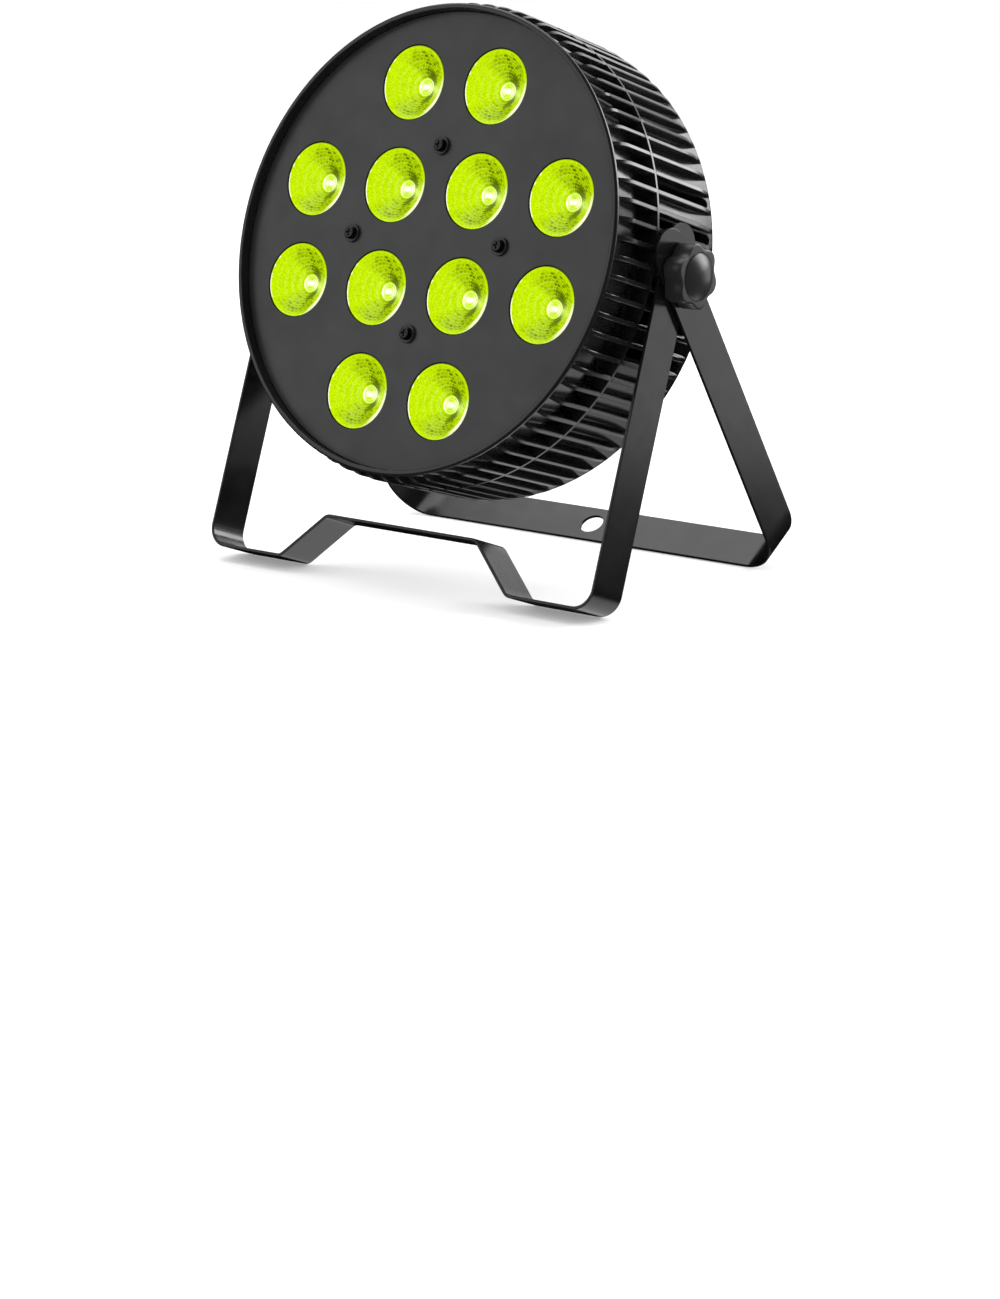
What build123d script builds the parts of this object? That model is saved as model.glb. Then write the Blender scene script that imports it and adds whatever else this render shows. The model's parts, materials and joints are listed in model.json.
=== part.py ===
from build123d import *

import os
from math import cos, radians, sin

# A par can light standing on its two folding brackets. Millimetres, +Z up, lamp facing -Y and
# tilted up. The origin is on the floor under the middle of the whole object.
os.makedirs("parts", exist_ok=True)

# ---- Driving dimensions --------------------------------------------------------------------
PIVOT_Y = -15.5
PIVOT_Z = 150.0
TILT = 16.6
LENS_FORWARD = 36.8
FIT = 0.05

RIM_R = 110.0
RIM_INNER_R = 107.4
RIM_FRONT = 5.1
RIM_BACK = 3.0
RIM_ROUND = 1.2
CREST_START_R = 109.1
CREST_R = 112.4
CREST_FULL = -6.7
PARTING = -24.0
RING_HALF = 0.6
SHOULDER_START = -60.0
REAR_FACE = -87.0
FINS = 80
POCKET_WIDTH = 6.5
SLOT_ANGLES = (11.25, 20.25, -11.25, -20.25)
SLOT_LENGTH = 39.0
SLOT_WIDTH = 5.0
SLOT_MIDDLE = -49.5
FRONT_INNER_R = 102.0
REAR_INNER_R = 104.5
REAR_WALL_INNER = -83.0
REAR_WALL_R = 86.0
REAR_WALL_CURVE = -64.5
FRONT_FLOOR_R = 104.5
REAR_FLOOR_R = 107.9
POCKET_OUT_R = 118.0
REAR_POCKET_END = -78.0

PLATE_R = 107.2
PLATE_T = 1.5
LENS_PITCH = 48.6
LENS_R = 17.6
LENS_FACE = -0.3
LENS_SEAT = -2.8
LENS_BACK = -20.5
LENS_GAP = 0.4
LENS_DIP_R = 5.0
LENS_DIP = -2.0
LENS_BEVEL = 0.5
LENS_SKIRT_R = 16.2
LENS_NECK_R = 6.5
LENS_POCKET_R = 4.2
LENS_POCKET_DEPTH = 4.5
TRAY_R = 100.0
TRAY_T = 2.2
TRAY_HOLE_R = 16.5
BOARD_FRONT = -22.4
BOARD_T = 1.6
BOARD_R = 84.0
BOARD_POST_HOLE_R = 6.5
EMITTER_W = 5.0
EMITTER_T = 0.6
EMITTER_DOME_R = 1.7
EMITTER_DOME_H = 1.5
SINK_R = 97.0
SINK_BASE_T = 4.0
SINK_RIB_H = 14.0
SINK_RIB_PITCH = 12.0
SINK_RIB_T = 2.4
SINK_RIBS = 13
SINK_RIBS_R = 80.0
FACE_SCREW_PCD_R = 44.0
FACE_SCREW_R = 1.45
FACE_SCREW_L = 28.0
FACE_SCREW_HOLE_R = 1.6
FACE_SCREW_TAP_R = 1.5
FACE_SCREW_TAP_DEPTH = 3.5
BUSH_R = 2.9
BUSH_FLANGE_R = 4.3
BUSH_FLANGE_T = 1.3
POST_PCD_R = 79.0
POST_R = 4.5
POST_GAP = 2.0
POST_RIB_T = 3.0
POST_TAP_DEPTH = 16.0
POST_SCREW_R = 1.75
POST_SCREW_GAP = 0.15
POST_SCREW_L = 74.0
COUNTERBORE_R = 3.6
COUNTERBORE_DEPTH = 2.2

PANEL_R = 74.0
PANEL_T = 1.5
PANEL_OPENING_R = 66.0
PANEL_SCREW_PCD_R = 70.0
PANEL_SCREWS = 6
PANEL_SCREW_TAP_R = 1.2
PANEL_SCREW_HOLE_R = 1.3
VENT_HOLE_R = 1.8
VENT_RINGS = ((6.0, 6), (12.0, 12), (18.0, 18))
FAN_SIZE = 50.0
FAN_T = 15.0
FAN_BORE_R = 23.5
FAN_HUB_R = 9.0
FAN_SHAFT_R = 1.5
FAN_ARM_T = 2.0
FAN_BLADES = 7
FAN_BLADE_W = 11.0
FAN_BLADE_T = 1.2
FAN_BLADE_PITCH = 35.0
FAN_BLADE_IN = 8.0
FAN_BLADE_L = 14.0
ROTOR_START = 1.5
ROTOR_END = 12.0
BUTTON_XS = (-18.0, -6.0, 6.0, 18.0)
BUTTON_U = 34.0
BUTTON_R = 3.0
BUTTON_GAP = 0.07
BUTTON_PROUD = 2.0
BUTTON_BACK = -8.8
BUTTON_ROUND = 0.6
BUTTON_FLANGE = 1.0
DISPLAY_U = 50.0
WINDOW_W = 34.0
WINDOW_H = 12.0
DISPLAY_W = 38.0
DISPLAY_H = 17.0
CONTROL_U = 45.0
CONTROL_W = 60.0
CONTROL_H = 34.0
CONTROL_FRONT = 13.4
CIRCUIT_T = 1.6
SWITCH_W = 6.0
SWITCH_H = 3.5
SOCKET_GAP = 0.2
DATA_X = 47.0
DATA_U = -2.0
DATA_R = 11.8
DATA_W = 26.0
DATA_H = 31.0
DATA_CORNER_R = 2.5
DATA_DEPTH = 25.0
CUP_R = 9.4
CUP_DEPTH = 15.0
GROOVE_R = 9.6
GROOVE_INNER_R = 8.0
GROOVE_DEPTH = 12.0
PIN_PCD_R = 4.2
PIN_R = 1.2
PIN_HOLE_R = 1.3
PIN_L = 9.0
LATCH_U = 12.2
LATCH_W = 8.0
LATCH_H = 3.8
LATCH_BACK = 7.5
LATCH_PROUD = 2.0
LATCH_SLOT_DEPTH = 11.5
LATCH_HOUSING_W = 12.0
LATCH_HOUSING_H = 5.6
LATCH_HOUSING_DEPTH = 12.0
POWER_X = 20.0
POWER_U = -43.0
POWER_W = 30.0
POWER_H = 22.5
POWER_CORNER_R = 3.0
POWER_BODY_W = 27.0
POWER_BODY_H = 19.5
POWER_DEPTH = 22.0
RECESS_W = 23.0
RECESS_H = 15.5
RECESS_DEPTH = 16.0
RECESS_CORNER_R = 2.0
BLADE_SPOTS = ((-7, 2), (7, 2), (0, -2))
BLADE_W = 2.0
BLADE_H = 4.0
BLADE_L = 9.5
BLADE_SLOT_W = 2.4
BLADE_SLOT_H = 5.0
BLADE_SLOT_DEPTH = 12.0
EYE_U = -69.0
EYE_HOLE_R = 5.0
EYE_HOLE_MIDDLE = 9.0
EYE_RING_R = 9.0
EYE_BASE_W = 19.0
EYE_BASE_H = 12.0
EYE_BASE_UP = 6.0
EYE_SCREW_X = 6.0
EYE_SCREW_UP = 7.0
EYE_SCREW_HOLE_R = 1.6
FLANGE_T = 2.0
PSU_U = -36.0
PSU_W = 86.0
PSU_H = 44.0
PSU_STANDOFF = 6.0
PSU_PARTS_H = 10.0

STRAP_W = 22.0
STRAP_T = 1.5
STRAP_TOP = 23.5
FRONT_LEAN = 19.6
FRONT_OUT = 115.5
FRONT_CORNER_R = 10.5
RAISE = 22.4
RAISE_HALF_TOP = 45.0
RAISE_HALF_BASE = 68.5
RAISE_BEND_R = 5.0
REAR_LEAN = 33.0
REAR_OUT = 118.0
REAR_CORNER_R = 20.0
CLAMP_HOLE_R = 6.0

BOSS_R = 10.0
BOSS_FACE = 112.9
INSERT_R = 6.0
INSERT_L = 6.0
PRESS_GAP = 0.02
STRAP_WASHER_R = 9.5
KNOB_WASHER_R = 9.0
STUD_R = 4.0
STUD_INNER = 99.0
STUD_COVER = 2.0
KNOB_INNER = 118.5
KNOB_FACE = 128.0
KNOB_TIP_R = 15.0
KNOB_VALLEY_R = 12.7
KNOB_SCOOP_R = 6.0
KNOB_SCOOP_ROUND = 2.2
KNOB_LOBES = 6
KNOB_PHASE = -6.0
CAP_R = 10.7
CAP_H = 3.5
CAP_DOME_R = (CAP_R ** 2 + CAP_H ** 2) / (2 * CAP_H)

# ---- Frames --------------------------------------------------------------------------------
PIVOT = Vector(0, PIVOT_Y, PIVOT_Z)
FORWARD = Vector(0, -cos(radians(TILT)), sin(radians(TILT)))
UP = Vector(0, sin(radians(TILT)), cos(radians(TILT)))
FACE_CENTRE = PIVOT + FORWARD * LENS_FORWARD
FACE = Plane(origin=FACE_CENTRE, x_dir=(1, 0, 0), z_dir=FORWARD)
LAMP_AXIS = Axis(FACE_CENTRE, FORWARD)
FIN_PITCH = 360 / FINS


def at(x, up, z):
    """A plane facing the way the lamp faces, at a point given in the lamp's own frame."""
    return Plane(origin=FACE_CENTRE + Vector(x, 0, 0) + UP * up + FORWARD * z,
                 x_dir=(1, 0, 0), z_dir=FORWARD)


def section(x=0.0, up=0.0):
    """A plane for half profiles: its x is the radius and its y points the way the lamp faces."""
    return Plane(origin=FACE_CENTRE + Vector(x, 0, 0) + UP * up, x_dir=(1, 0, 0), z_dir=-UP)


def spin_axis(x, up):
    return Axis(FACE_CENTRE + Vector(x, 0, 0) + UP * up, FORWARD)


def side_plane(side, x):
    """A plane across the pivot axis, facing outward on the side given as +1 or -1."""
    return Plane(origin=(side * x, PIVOT_Y, PIVOT_Z), x_dir=(0, 1, 0), z_dir=(side, 0, 0))


def leg_plane(lean):
    """The plane a bracket is bent in: its y runs up the leg, its z across the strap."""
    return Plane(origin=PIVOT, x_dir=(1, 0, 0),
                 z_dir=(0, -cos(radians(lean)), sin(radians(lean))))


def save(part, name):
    part.label = name
    export_step(part, f"parts/{name}.step")


# ---- Brackets ------------------------------------------------------------------------------
def leg_reach(lean):
    """From the pivot down the leg to the bar's outer face, so that one bar edge meets z = 0."""
    return (PIVOT_Z - STRAP_W / 2 * sin(radians(abs(lean)))) / cos(radians(lean))


def bend_strap(lean, path_points, radii):
    """A strap swept along its mid-line, with round ends above the pivot and the stud holes."""
    plane = leg_plane(lean)
    with BuildPart() as strap:
        with BuildLine(plane) as route:
            FilletPolyline(*path_points, radius=radii)
        with BuildSketch(Plane(origin=route.line @ 0, x_dir=plane.z_dir, z_dir=route.line % 0)):
            Rectangle(STRAP_W, STRAP_T)
        sweep(path=route.line)
        ends = strap.edges().filter_by(Axis.X).sort_by(Axis(PIVOT, plane.y_dir))[-4:]
        fillet(ends, STRAP_W / 2 - FIT)
        with BuildSketch(side_plane(1, 0)):
            Circle(STUD_R + FIT)
        extrude(amount=REAR_OUT + 1, both=True, mode=Mode.SUBTRACT)
    return strap


front_x = FRONT_OUT - STRAP_T / 2
front_y = -leg_reach(FRONT_LEAN) + STRAP_T / 2
front_half = [(front_x, front_y), (RAISE_HALF_BASE, front_y), (RAISE_HALF_TOP, front_y + RAISE)]
front_points = [(-front_x, STRAP_TOP)]
front_points += [(-x, y) for x, y in front_half]
front_points += list(reversed(front_half))
front_points += [(front_x, STRAP_TOP)]
corner = FRONT_CORNER_R - STRAP_T / 2
front_bracket = bend_strap(FRONT_LEAN, front_points, [corner] + [RAISE_BEND_R] * 4 + [corner])
save(front_bracket.part, "front_bracket")

rear_x = REAR_OUT - STRAP_T / 2
rear_y = -leg_reach(REAR_LEAN) + STRAP_T / 2
rear_points = [(-rear_x, STRAP_TOP), (-rear_x, rear_y), (rear_x, rear_y), (rear_x, STRAP_TOP)]
corner = REAR_CORNER_R - STRAP_T / 2
rear_strap = bend_strap(-REAR_LEAN, rear_points, [corner] * 2)
rear_plane = leg_plane(-REAR_LEAN)
with BuildPart() as rear_bracket:
    add(rear_strap.part)
    bar_middle = rear_plane.from_local_coords((0, rear_y, 0))
    with BuildSketch(Plane(origin=bar_middle, x_dir=(1, 0, 0), z_dir=rear_plane.y_dir)):
        Circle(CLAMP_HOLE_R)
    extrude(amount=STRAP_T, both=True, mode=Mode.SUBTRACT)
save(rear_bracket.part, "rear_bracket")

# ---- Housing -------------------------------------------------------------------------------
# Pocket cutters are drawn about the lamp's own axis, Z pointing the way the lamp faces.
with BuildPart() as front_pocket:
    with BuildSketch(Plane.XZ):
        with BuildLine():
            floor_end = (FRONT_FLOOR_R, PARTING + RING_HALF)
            Spline((109.0, RIM_BACK), (107.4, -5.0), (105.4, -14.0), (FRONT_FLOOR_R, -20.5),
                   floor_end)
            Polyline(floor_end, (POCKET_OUT_R, PARTING + RING_HALF), (POCKET_OUT_R, RIM_BACK),
                     (109.0, RIM_BACK))
        make_face()
    extrude(amount=POCKET_WIDTH / 2, both=True)

with BuildPart() as rear_pocket:
    with BuildSketch(Plane.XZ):
        with BuildLine():
            Line((REAR_FLOOR_R, PARTING - RING_HALF), (REAR_FLOOR_R, -53.0))
            Spline((REAR_FLOOR_R, -53.0), (108.6, -60.0), (110.3, -70.5), (112.0, REAR_POCKET_END),
                   tangents=((0, -1), (1.2, -5)))
            Polyline((112.0, REAR_POCKET_END), (POCKET_OUT_R, REAR_POCKET_END),
                     (POCKET_OUT_R, PARTING - RING_HALF), (REAR_FLOOR_R, PARTING - RING_HALF))
        make_face()
    extrude(amount=POCKET_WIDTH / 2, both=True)

with BuildPart() as vent_slot:
    with BuildSketch(Plane.YZ.offset(REAR_INNER_R - 10)):
        with Locations((0, SLOT_MIDDLE)):
            SlotOverall(SLOT_LENGTH, SLOT_WIDTH, rotation=90)
    extrude(amount=25)

with BuildPart(FACE) as front_housing:
    with BuildSketch(section()):
        with BuildLine():
            Polyline((RIM_INNER_R, RIM_FRONT), (RIM_R - RIM_ROUND, RIM_FRONT))
            TangentArc((RIM_R - RIM_ROUND, RIM_FRONT), (RIM_R, RIM_FRONT - RIM_ROUND),
                       tangent=(1, 0))
            Polyline((RIM_R, RIM_FRONT - RIM_ROUND), (RIM_R, RIM_BACK), (CREST_START_R, RIM_BACK))
            TangentArc((CREST_R, CREST_FULL), (CREST_START_R, RIM_BACK), tangent=(0, 1))
            Polyline((CREST_R, CREST_FULL), (CREST_R, PARTING), (FRONT_INNER_R, PARTING),
                     (FRONT_INNER_R, -PLATE_T), (RIM_INNER_R, -PLATE_T), (RIM_INNER_R, RIM_FRONT))
        make_face()
    revolve(axis=LAMP_AXIS)
    with PolarLocations(0, FINS, start_angle=FIN_PITCH / 2):
        add(front_pocket.part, mode=Mode.SUBTRACT)
    with BuildSketch(FACE.offset(LENS_SEAT - TRAY_T)):
        with PolarLocations(POST_PCD_R, 4, start_angle=45):
            Circle(POST_R)
        with PolarLocations((POST_PCD_R + FRONT_INNER_R + 1) / 2, 4, start_angle=45):
            Rectangle(FRONT_INNER_R + 1 - POST_PCD_R, POST_RIB_T)
    extrude(amount=PARTING - LENS_SEAT + TRAY_T)
    with BuildSketch(FACE.offset(PARTING)):
        with PolarLocations(POST_PCD_R, 4, start_angle=45):
            Circle(POST_SCREW_R)
    extrude(amount=POST_TAP_DEPTH, mode=Mode.SUBTRACT)
save(front_housing.part, "front_housing")

with BuildPart(FACE) as rear_housing:
    with BuildSketch(section()):
        with BuildLine():
            shoulder_end = (CREST_R + REAR_FACE - SHOULDER_START, REAR_FACE)
            Line((CREST_R, PARTING), (CREST_R, SHOULDER_START))
            TangentArc((CREST_R, SHOULDER_START), shoulder_end, tangent=(0, -1))
            Polyline(shoulder_end, (PANEL_R + FIT, REAR_FACE), (PANEL_R + FIT, REAR_FACE + PANEL_T),
                     (PANEL_OPENING_R, REAR_FACE + PANEL_T), (PANEL_OPENING_R, REAR_WALL_INNER),
                     (REAR_WALL_R, REAR_WALL_INNER))
            TangentArc((REAR_INNER_R, REAR_WALL_CURVE), (REAR_WALL_R, REAR_WALL_INNER),
                       tangent=(0, -1))
            Polyline((REAR_INNER_R, REAR_WALL_CURVE), (REAR_INNER_R, PARTING), (CREST_R, PARTING))
        make_face()
    revolve(axis=LAMP_AXIS)
    with PolarLocations(0, FINS, start_angle=FIN_PITCH / 2):
        add(rear_pocket.part, mode=Mode.SUBTRACT)
    for angle in SLOT_ANGLES:
        with PolarLocations(0, 2, start_angle=angle):
            add(vent_slot.part, mode=Mode.SUBTRACT)
    with BuildSketch(FACE.offset(PARTING - SINK_BASE_T)):
        with PolarLocations(POST_PCD_R, 4, start_angle=45):
            Circle(POST_R)
    extrude(amount=REAR_WALL_INNER - PARTING + SINK_BASE_T)
    with BuildSketch(FACE.offset(REAR_FACE)):
        with PolarLocations(POST_PCD_R, 4, start_angle=45):
            Circle(POST_SCREW_R + POST_SCREW_GAP)
    extrude(amount=PARTING - REAR_FACE, mode=Mode.SUBTRACT)
    with BuildSketch(FACE.offset(REAR_FACE)):
        with PolarLocations(POST_PCD_R, 4, start_angle=45):
            Circle(COUNTERBORE_R)
    extrude(amount=COUNTERBORE_DEPTH, mode=Mode.SUBTRACT)
    with BuildSketch(FACE.offset(REAR_FACE)):
        with PolarLocations(PANEL_SCREW_PCD_R, PANEL_SCREWS):
            Circle(PANEL_SCREW_TAP_R)
    extrude(amount=REAR_WALL_INNER - REAR_FACE, mode=Mode.SUBTRACT)
    for side in (1, -1):
        with BuildSketch(side_plane(side, REAR_INNER_R + 1)):
            Circle(BOSS_R)
        extrude(amount=BOSS_FACE - REAR_INNER_R - 1)
        with BuildSketch(side_plane(side, REAR_INNER_R - 10)):
            Circle(INSERT_R)
        extrude(amount=25, mode=Mode.SUBTRACT)
save(rear_housing.part, "rear_housing")

# ---- Face plate, lenses and tray -----------------------------------------------------------
halves = (-1.5, -0.5, 0.5, 1.5)
lens_cells = [(i, j) for j in reversed(halves) for i in halves if abs(i * j) < 2]
lens_spots = [(i * LENS_PITCH, j * LENS_PITCH) for i, j in lens_cells]

with BuildPart(FACE) as face_plate:
    with BuildSketch(FACE):
        Circle(PLATE_R)
        with Locations(*lens_spots):
            Circle(LENS_R + LENS_GAP, mode=Mode.SUBTRACT)
        with PolarLocations(FACE_SCREW_PCD_R, 4):
            Circle(BUSH_R + FIT, mode=Mode.SUBTRACT)
    extrude(amount=-PLATE_T)
save(face_plate.part, "face_plate")

with BuildPart(FACE) as lens_tray:
    with BuildSketch(FACE.offset(LENS_SEAT)):
        Circle(TRAY_R)
        with Locations(*lens_spots):
            Circle(TRAY_HOLE_R, mode=Mode.SUBTRACT)
        with PolarLocations(FACE_SCREW_PCD_R, 4):
            Circle(BUSH_R + FIT, mode=Mode.SUBTRACT)
    extrude(amount=-TRAY_T)
save(lens_tray.part, "lens_tray")

for number, (x, up) in enumerate(lens_spots, start=1):
    with BuildPart() as lens:
        with BuildSketch(section(x, up)):
            with BuildLine():
                ThreePointArc((0, LENS_DIP), (3.0, -1.5), (LENS_DIP_R, LENS_FACE))
                Polyline((LENS_DIP_R, LENS_FACE), (LENS_R - LENS_BEVEL, LENS_FACE),
                         (LENS_R, LENS_FACE - LENS_BEVEL), (LENS_R, LENS_SEAT),
                         (LENS_SKIRT_R, LENS_SEAT), (LENS_NECK_R, LENS_BACK),
                         (LENS_POCKET_R, LENS_BACK), (LENS_POCKET_R, LENS_BACK + LENS_POCKET_DEPTH),
                         (0, LENS_BACK + LENS_POCKET_DEPTH), (0, LENS_DIP))
            make_face()
        revolve(axis=spin_axis(x, up))
    save(lens.part, f"lens_{number:02d}")

with BuildPart(FACE) as led_board:
    with BuildSketch(FACE.offset(BOARD_FRONT)):
        Circle(BOARD_R)
        with PolarLocations(POST_PCD_R + 1, 4, start_angle=45):
            Circle(BOARD_POST_HOLE_R, mode=Mode.SUBTRACT)
        with PolarLocations(FACE_SCREW_PCD_R, 4):
            Circle(FACE_SCREW_HOLE_R, mode=Mode.SUBTRACT)
    extrude(amount=-BOARD_T)
save(led_board.part, "led_board")

with BuildPart(FACE) as led_emitters:
    with BuildSketch(FACE.offset(BOARD_FRONT)):
        with Locations(*lens_spots):
            RectangleRounded(EMITTER_W, EMITTER_W, EMITTER_W / 10)
    extrude(amount=EMITTER_T)
    with BuildSketch(FACE.offset(BOARD_FRONT)):
        with Locations(*lens_spots):
            Circle(EMITTER_DOME_R)
    extrude(amount=EMITTER_DOME_H)
save(led_emitters.part, "led_emitters")

with BuildPart(FACE) as heat_sink:
    with BuildSketch(FACE.offset(PARTING)):
        Circle(SINK_R)
    extrude(amount=-SINK_BASE_T)
    with BuildSketch(FACE.offset(PARTING - SINK_BASE_T)):
        with GridLocations(SINK_RIB_PITCH, 0, SINK_RIBS, 1):
            Rectangle(SINK_RIB_T, 2 * SINK_R)
        Circle(SINK_RIBS_R, mode=Mode.INTERSECT)
        with PolarLocations(POST_PCD_R, 4, start_angle=45):
            Circle(POST_R + POST_GAP, mode=Mode.SUBTRACT)
    extrude(amount=-SINK_RIB_H)
    with BuildSketch(FACE.offset(PARTING)):
        with PolarLocations(POST_PCD_R, 4, start_angle=45):
            Circle(POST_SCREW_R + POST_SCREW_GAP)
    extrude(amount=-SINK_BASE_T, mode=Mode.SUBTRACT)
    with BuildSketch(FACE.offset(PARTING)):
        with PolarLocations(FACE_SCREW_PCD_R, 4):
            Circle(FACE_SCREW_TAP_R)
    extrude(amount=-FACE_SCREW_TAP_DEPTH, mode=Mode.SUBTRACT)
save(heat_sink.part, "heat_sink")

# ---- Face screws on their shoulder bushes --------------------------------------------------
with BuildPart(FACE) as face_bushings:
    with BuildSketch(FACE):
        with PolarLocations(FACE_SCREW_PCD_R, 4):
            Circle(BUSH_FLANGE_R)
    extrude(amount=BUSH_FLANGE_T)
    with BuildSketch(FACE):
        with PolarLocations(FACE_SCREW_PCD_R, 4):
            Circle(BUSH_R)
    extrude(amount=BOARD_FRONT)
    with BuildSketch(FACE.offset(BOARD_FRONT)):
        with PolarLocations(FACE_SCREW_PCD_R, 4):
            Circle(FACE_SCREW_HOLE_R)
    extrude(amount=BUSH_FLANGE_T - BOARD_FRONT, mode=Mode.SUBTRACT)
save(face_bushings.part, "face_bushings")


def screws(plane, spots, head_r, head_h, shank_r, shank_length):
    """Pan-head screws with a cross recess: heads stand on the plane, shanks go in below it."""
    with BuildPart(plane) as group:
        with BuildSketch(plane):
            with Locations(*spots):
                Circle(head_r)
        extrude(amount=head_h)
        fillet(group.faces().sort_by(Axis(plane.origin, plane.z_dir))[-len(spots):].edges(),
               head_h * 0.45)
        with BuildSketch(plane.offset(head_h)):
            with Locations(*spots):
                Rectangle(head_r * 1.1, head_r * 0.28)
                Rectangle(head_r * 0.28, head_r * 1.1)
        extrude(amount=-head_h * 0.5, mode=Mode.SUBTRACT)
        with BuildSketch(plane):
            with Locations(*spots):
                Circle(shank_r)
        extrude(amount=-shank_length)
    return group.part


def ring_spots(radius, count, start=0.0):
    angles = [radians(start + 360 * k / count) for k in range(count)]
    return [(radius * cos(a), radius * sin(a)) for a in angles]


face_spots = ring_spots(FACE_SCREW_PCD_R, 4)
save(screws(FACE.offset(BUSH_FLANGE_T), face_spots, 3.0, 2.0, FACE_SCREW_R, FACE_SCREW_L),
     "face_screws")
head_seat = FACE.offset(REAR_FACE + COUNTERBORE_DEPTH)
head_seat = Plane(origin=head_seat.origin, x_dir=(1, 0, 0), z_dir=-FORWARD)
post_spots = ring_spots(POST_PCD_R, 4, 45)
save(screws(head_seat, post_spots, 3.4, 2.1, POST_SCREW_R - FIT, POST_SCREW_L), "housing_screws")

# ---- Rear panel and what it carries --------------------------------------------------------
# Planes that face backward: their x is the lamp's x, their y points down.
REAR = Plane(origin=FACE.offset(REAR_FACE).origin, x_dir=(1, 0, 0), z_dir=-FORWARD)
PANEL_INNER = REAR.offset(-PANEL_T)
DATA_SCREWS = ((-9.5, 12.0), (9.5, -12.0))
DATA_SCREW_HOLE_R = 1.35
EYE_SCREWS = ((-EYE_SCREW_X, -EYE_U - EYE_SCREW_UP), (EYE_SCREW_X, -EYE_U - EYE_SCREW_UP))


def rear_spot(x, up, height=0.0):
    """A backward-facing plane centred on a point of the panel, at a height over its face."""
    return Plane(origin=REAR.offset(height).origin + Vector(x, 0, 0) + UP * up,
                 x_dir=(1, 0, 0), z_dir=-FORWARD)


with BuildPart(REAR) as rear_panel:
    with BuildSketch(REAR):
        Circle(PANEL_R)
        for radius, count in VENT_RINGS:
            with PolarLocations(radius, count):
                Circle(VENT_HOLE_R, mode=Mode.SUBTRACT)
        with PolarLocations(PANEL_SCREW_PCD_R, PANEL_SCREWS):
            Circle(PANEL_SCREW_HOLE_R, mode=Mode.SUBTRACT)
        with Locations(*[(x, -BUTTON_U) for x in BUTTON_XS]):
            Circle(BUTTON_R + BUTTON_GAP, mode=Mode.SUBTRACT)
        with Locations((0, -DISPLAY_U)):
            Rectangle(WINDOW_W, WINDOW_H, mode=Mode.SUBTRACT)
        with Locations((DATA_X, -DATA_U), (-DATA_X, -DATA_U)):
            Circle(DATA_R + SOCKET_GAP, mode=Mode.SUBTRACT)
            with Locations(*DATA_SCREWS):
                Circle(DATA_SCREW_HOLE_R, mode=Mode.SUBTRACT)
        with Locations((DATA_X, -DATA_U - LATCH_U)):
            Rectangle(LATCH_HOUSING_W + 2 * SOCKET_GAP, LATCH_HOUSING_H + 2 * SOCKET_GAP,
                      mode=Mode.SUBTRACT)
        with Locations((POWER_X, -POWER_U), (-POWER_X, -POWER_U)):
            Rectangle(POWER_BODY_W + SOCKET_GAP, POWER_BODY_H + SOCKET_GAP, mode=Mode.SUBTRACT)
        with Locations(*EYE_SCREWS):
            Circle(EYE_SCREW_HOLE_R, mode=Mode.SUBTRACT)
    extrude(amount=-PANEL_T)
save(rear_panel.part, "rear_panel")

panel_spots = ring_spots(PANEL_SCREW_PCD_R, PANEL_SCREWS)
panel_screw_parts = screws(REAR, panel_spots, 2.5, 1.4, 1.15, 4.0)
eye_screw_parts = screws(REAR.offset(FLANGE_T), EYE_SCREWS, 2.6, 1.6, 1.5, 5.0)
save(Compound(children=panel_screw_parts.solids() + eye_screw_parts.solids()), "panel_screws")
data_spots = [(side * DATA_X + x, -DATA_U + y) for side in (1, -1) for x, y in DATA_SCREWS]
save(screws(REAR.offset(FLANGE_T), data_spots, 2.2, 1.2, 1.3, 7.0), "socket_screws")

with BuildPart() as control_board:
    with BuildSketch(rear_spot(0, CONTROL_U, -CONTROL_FRONT - CIRCUIT_T)):
        Rectangle(CONTROL_W, CONTROL_H)
    extrude(amount=CIRCUIT_T)
    with BuildSketch(rear_spot(0, CONTROL_U, -CONTROL_FRONT)):
        with GridLocations(CONTROL_W - 7, CONTROL_H - 8, 2, 2):
            Circle(2)
    extrude(amount=CONTROL_FRONT - PANEL_T)
    with BuildSketch(rear_spot(0, BUTTON_U, -CONTROL_FRONT)):
        with Locations(*[(x, 0) for x in BUTTON_XS]):
            Rectangle(SWITCH_W, SWITCH_W)
    extrude(amount=SWITCH_H)
save(control_board.part, "control_board")

with BuildPart() as display_module:
    with BuildSketch(rear_spot(0, DISPLAY_U, -CONTROL_FRONT)):
        Rectangle(DISPLAY_W, DISPLAY_H)
    extrude(amount=CONTROL_FRONT - PANEL_T)
save(display_module.part, "display_module")

with BuildPart() as display_window:
    with BuildSketch(rear_spot(0, DISPLAY_U, -PANEL_T)):
        Rectangle(WINDOW_W - 2 * FIT, WINDOW_H - 2 * FIT)
    extrude(amount=PANEL_T + 0.3)
save(display_window.part, "display_window")

for number, x in enumerate(BUTTON_XS, start=1):
    with BuildPart() as button:
        with BuildSketch(rear_spot(x, BUTTON_U, BUTTON_BACK)):
            Circle(BUTTON_R)
        extrude(amount=BUTTON_PROUD - BUTTON_BACK)
        fillet(button.faces().sort_by(Axis(PIVOT, -FORWARD))[-1].edges(), BUTTON_ROUND)
        with BuildSketch(rear_spot(x, BUTTON_U, -PANEL_T - FIT)):
            Circle(BUTTON_R + BUTTON_FLANGE)
        extrude(amount=-BUTTON_FLANGE)
    save(button.part, f"menu_button_{number}")


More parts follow.
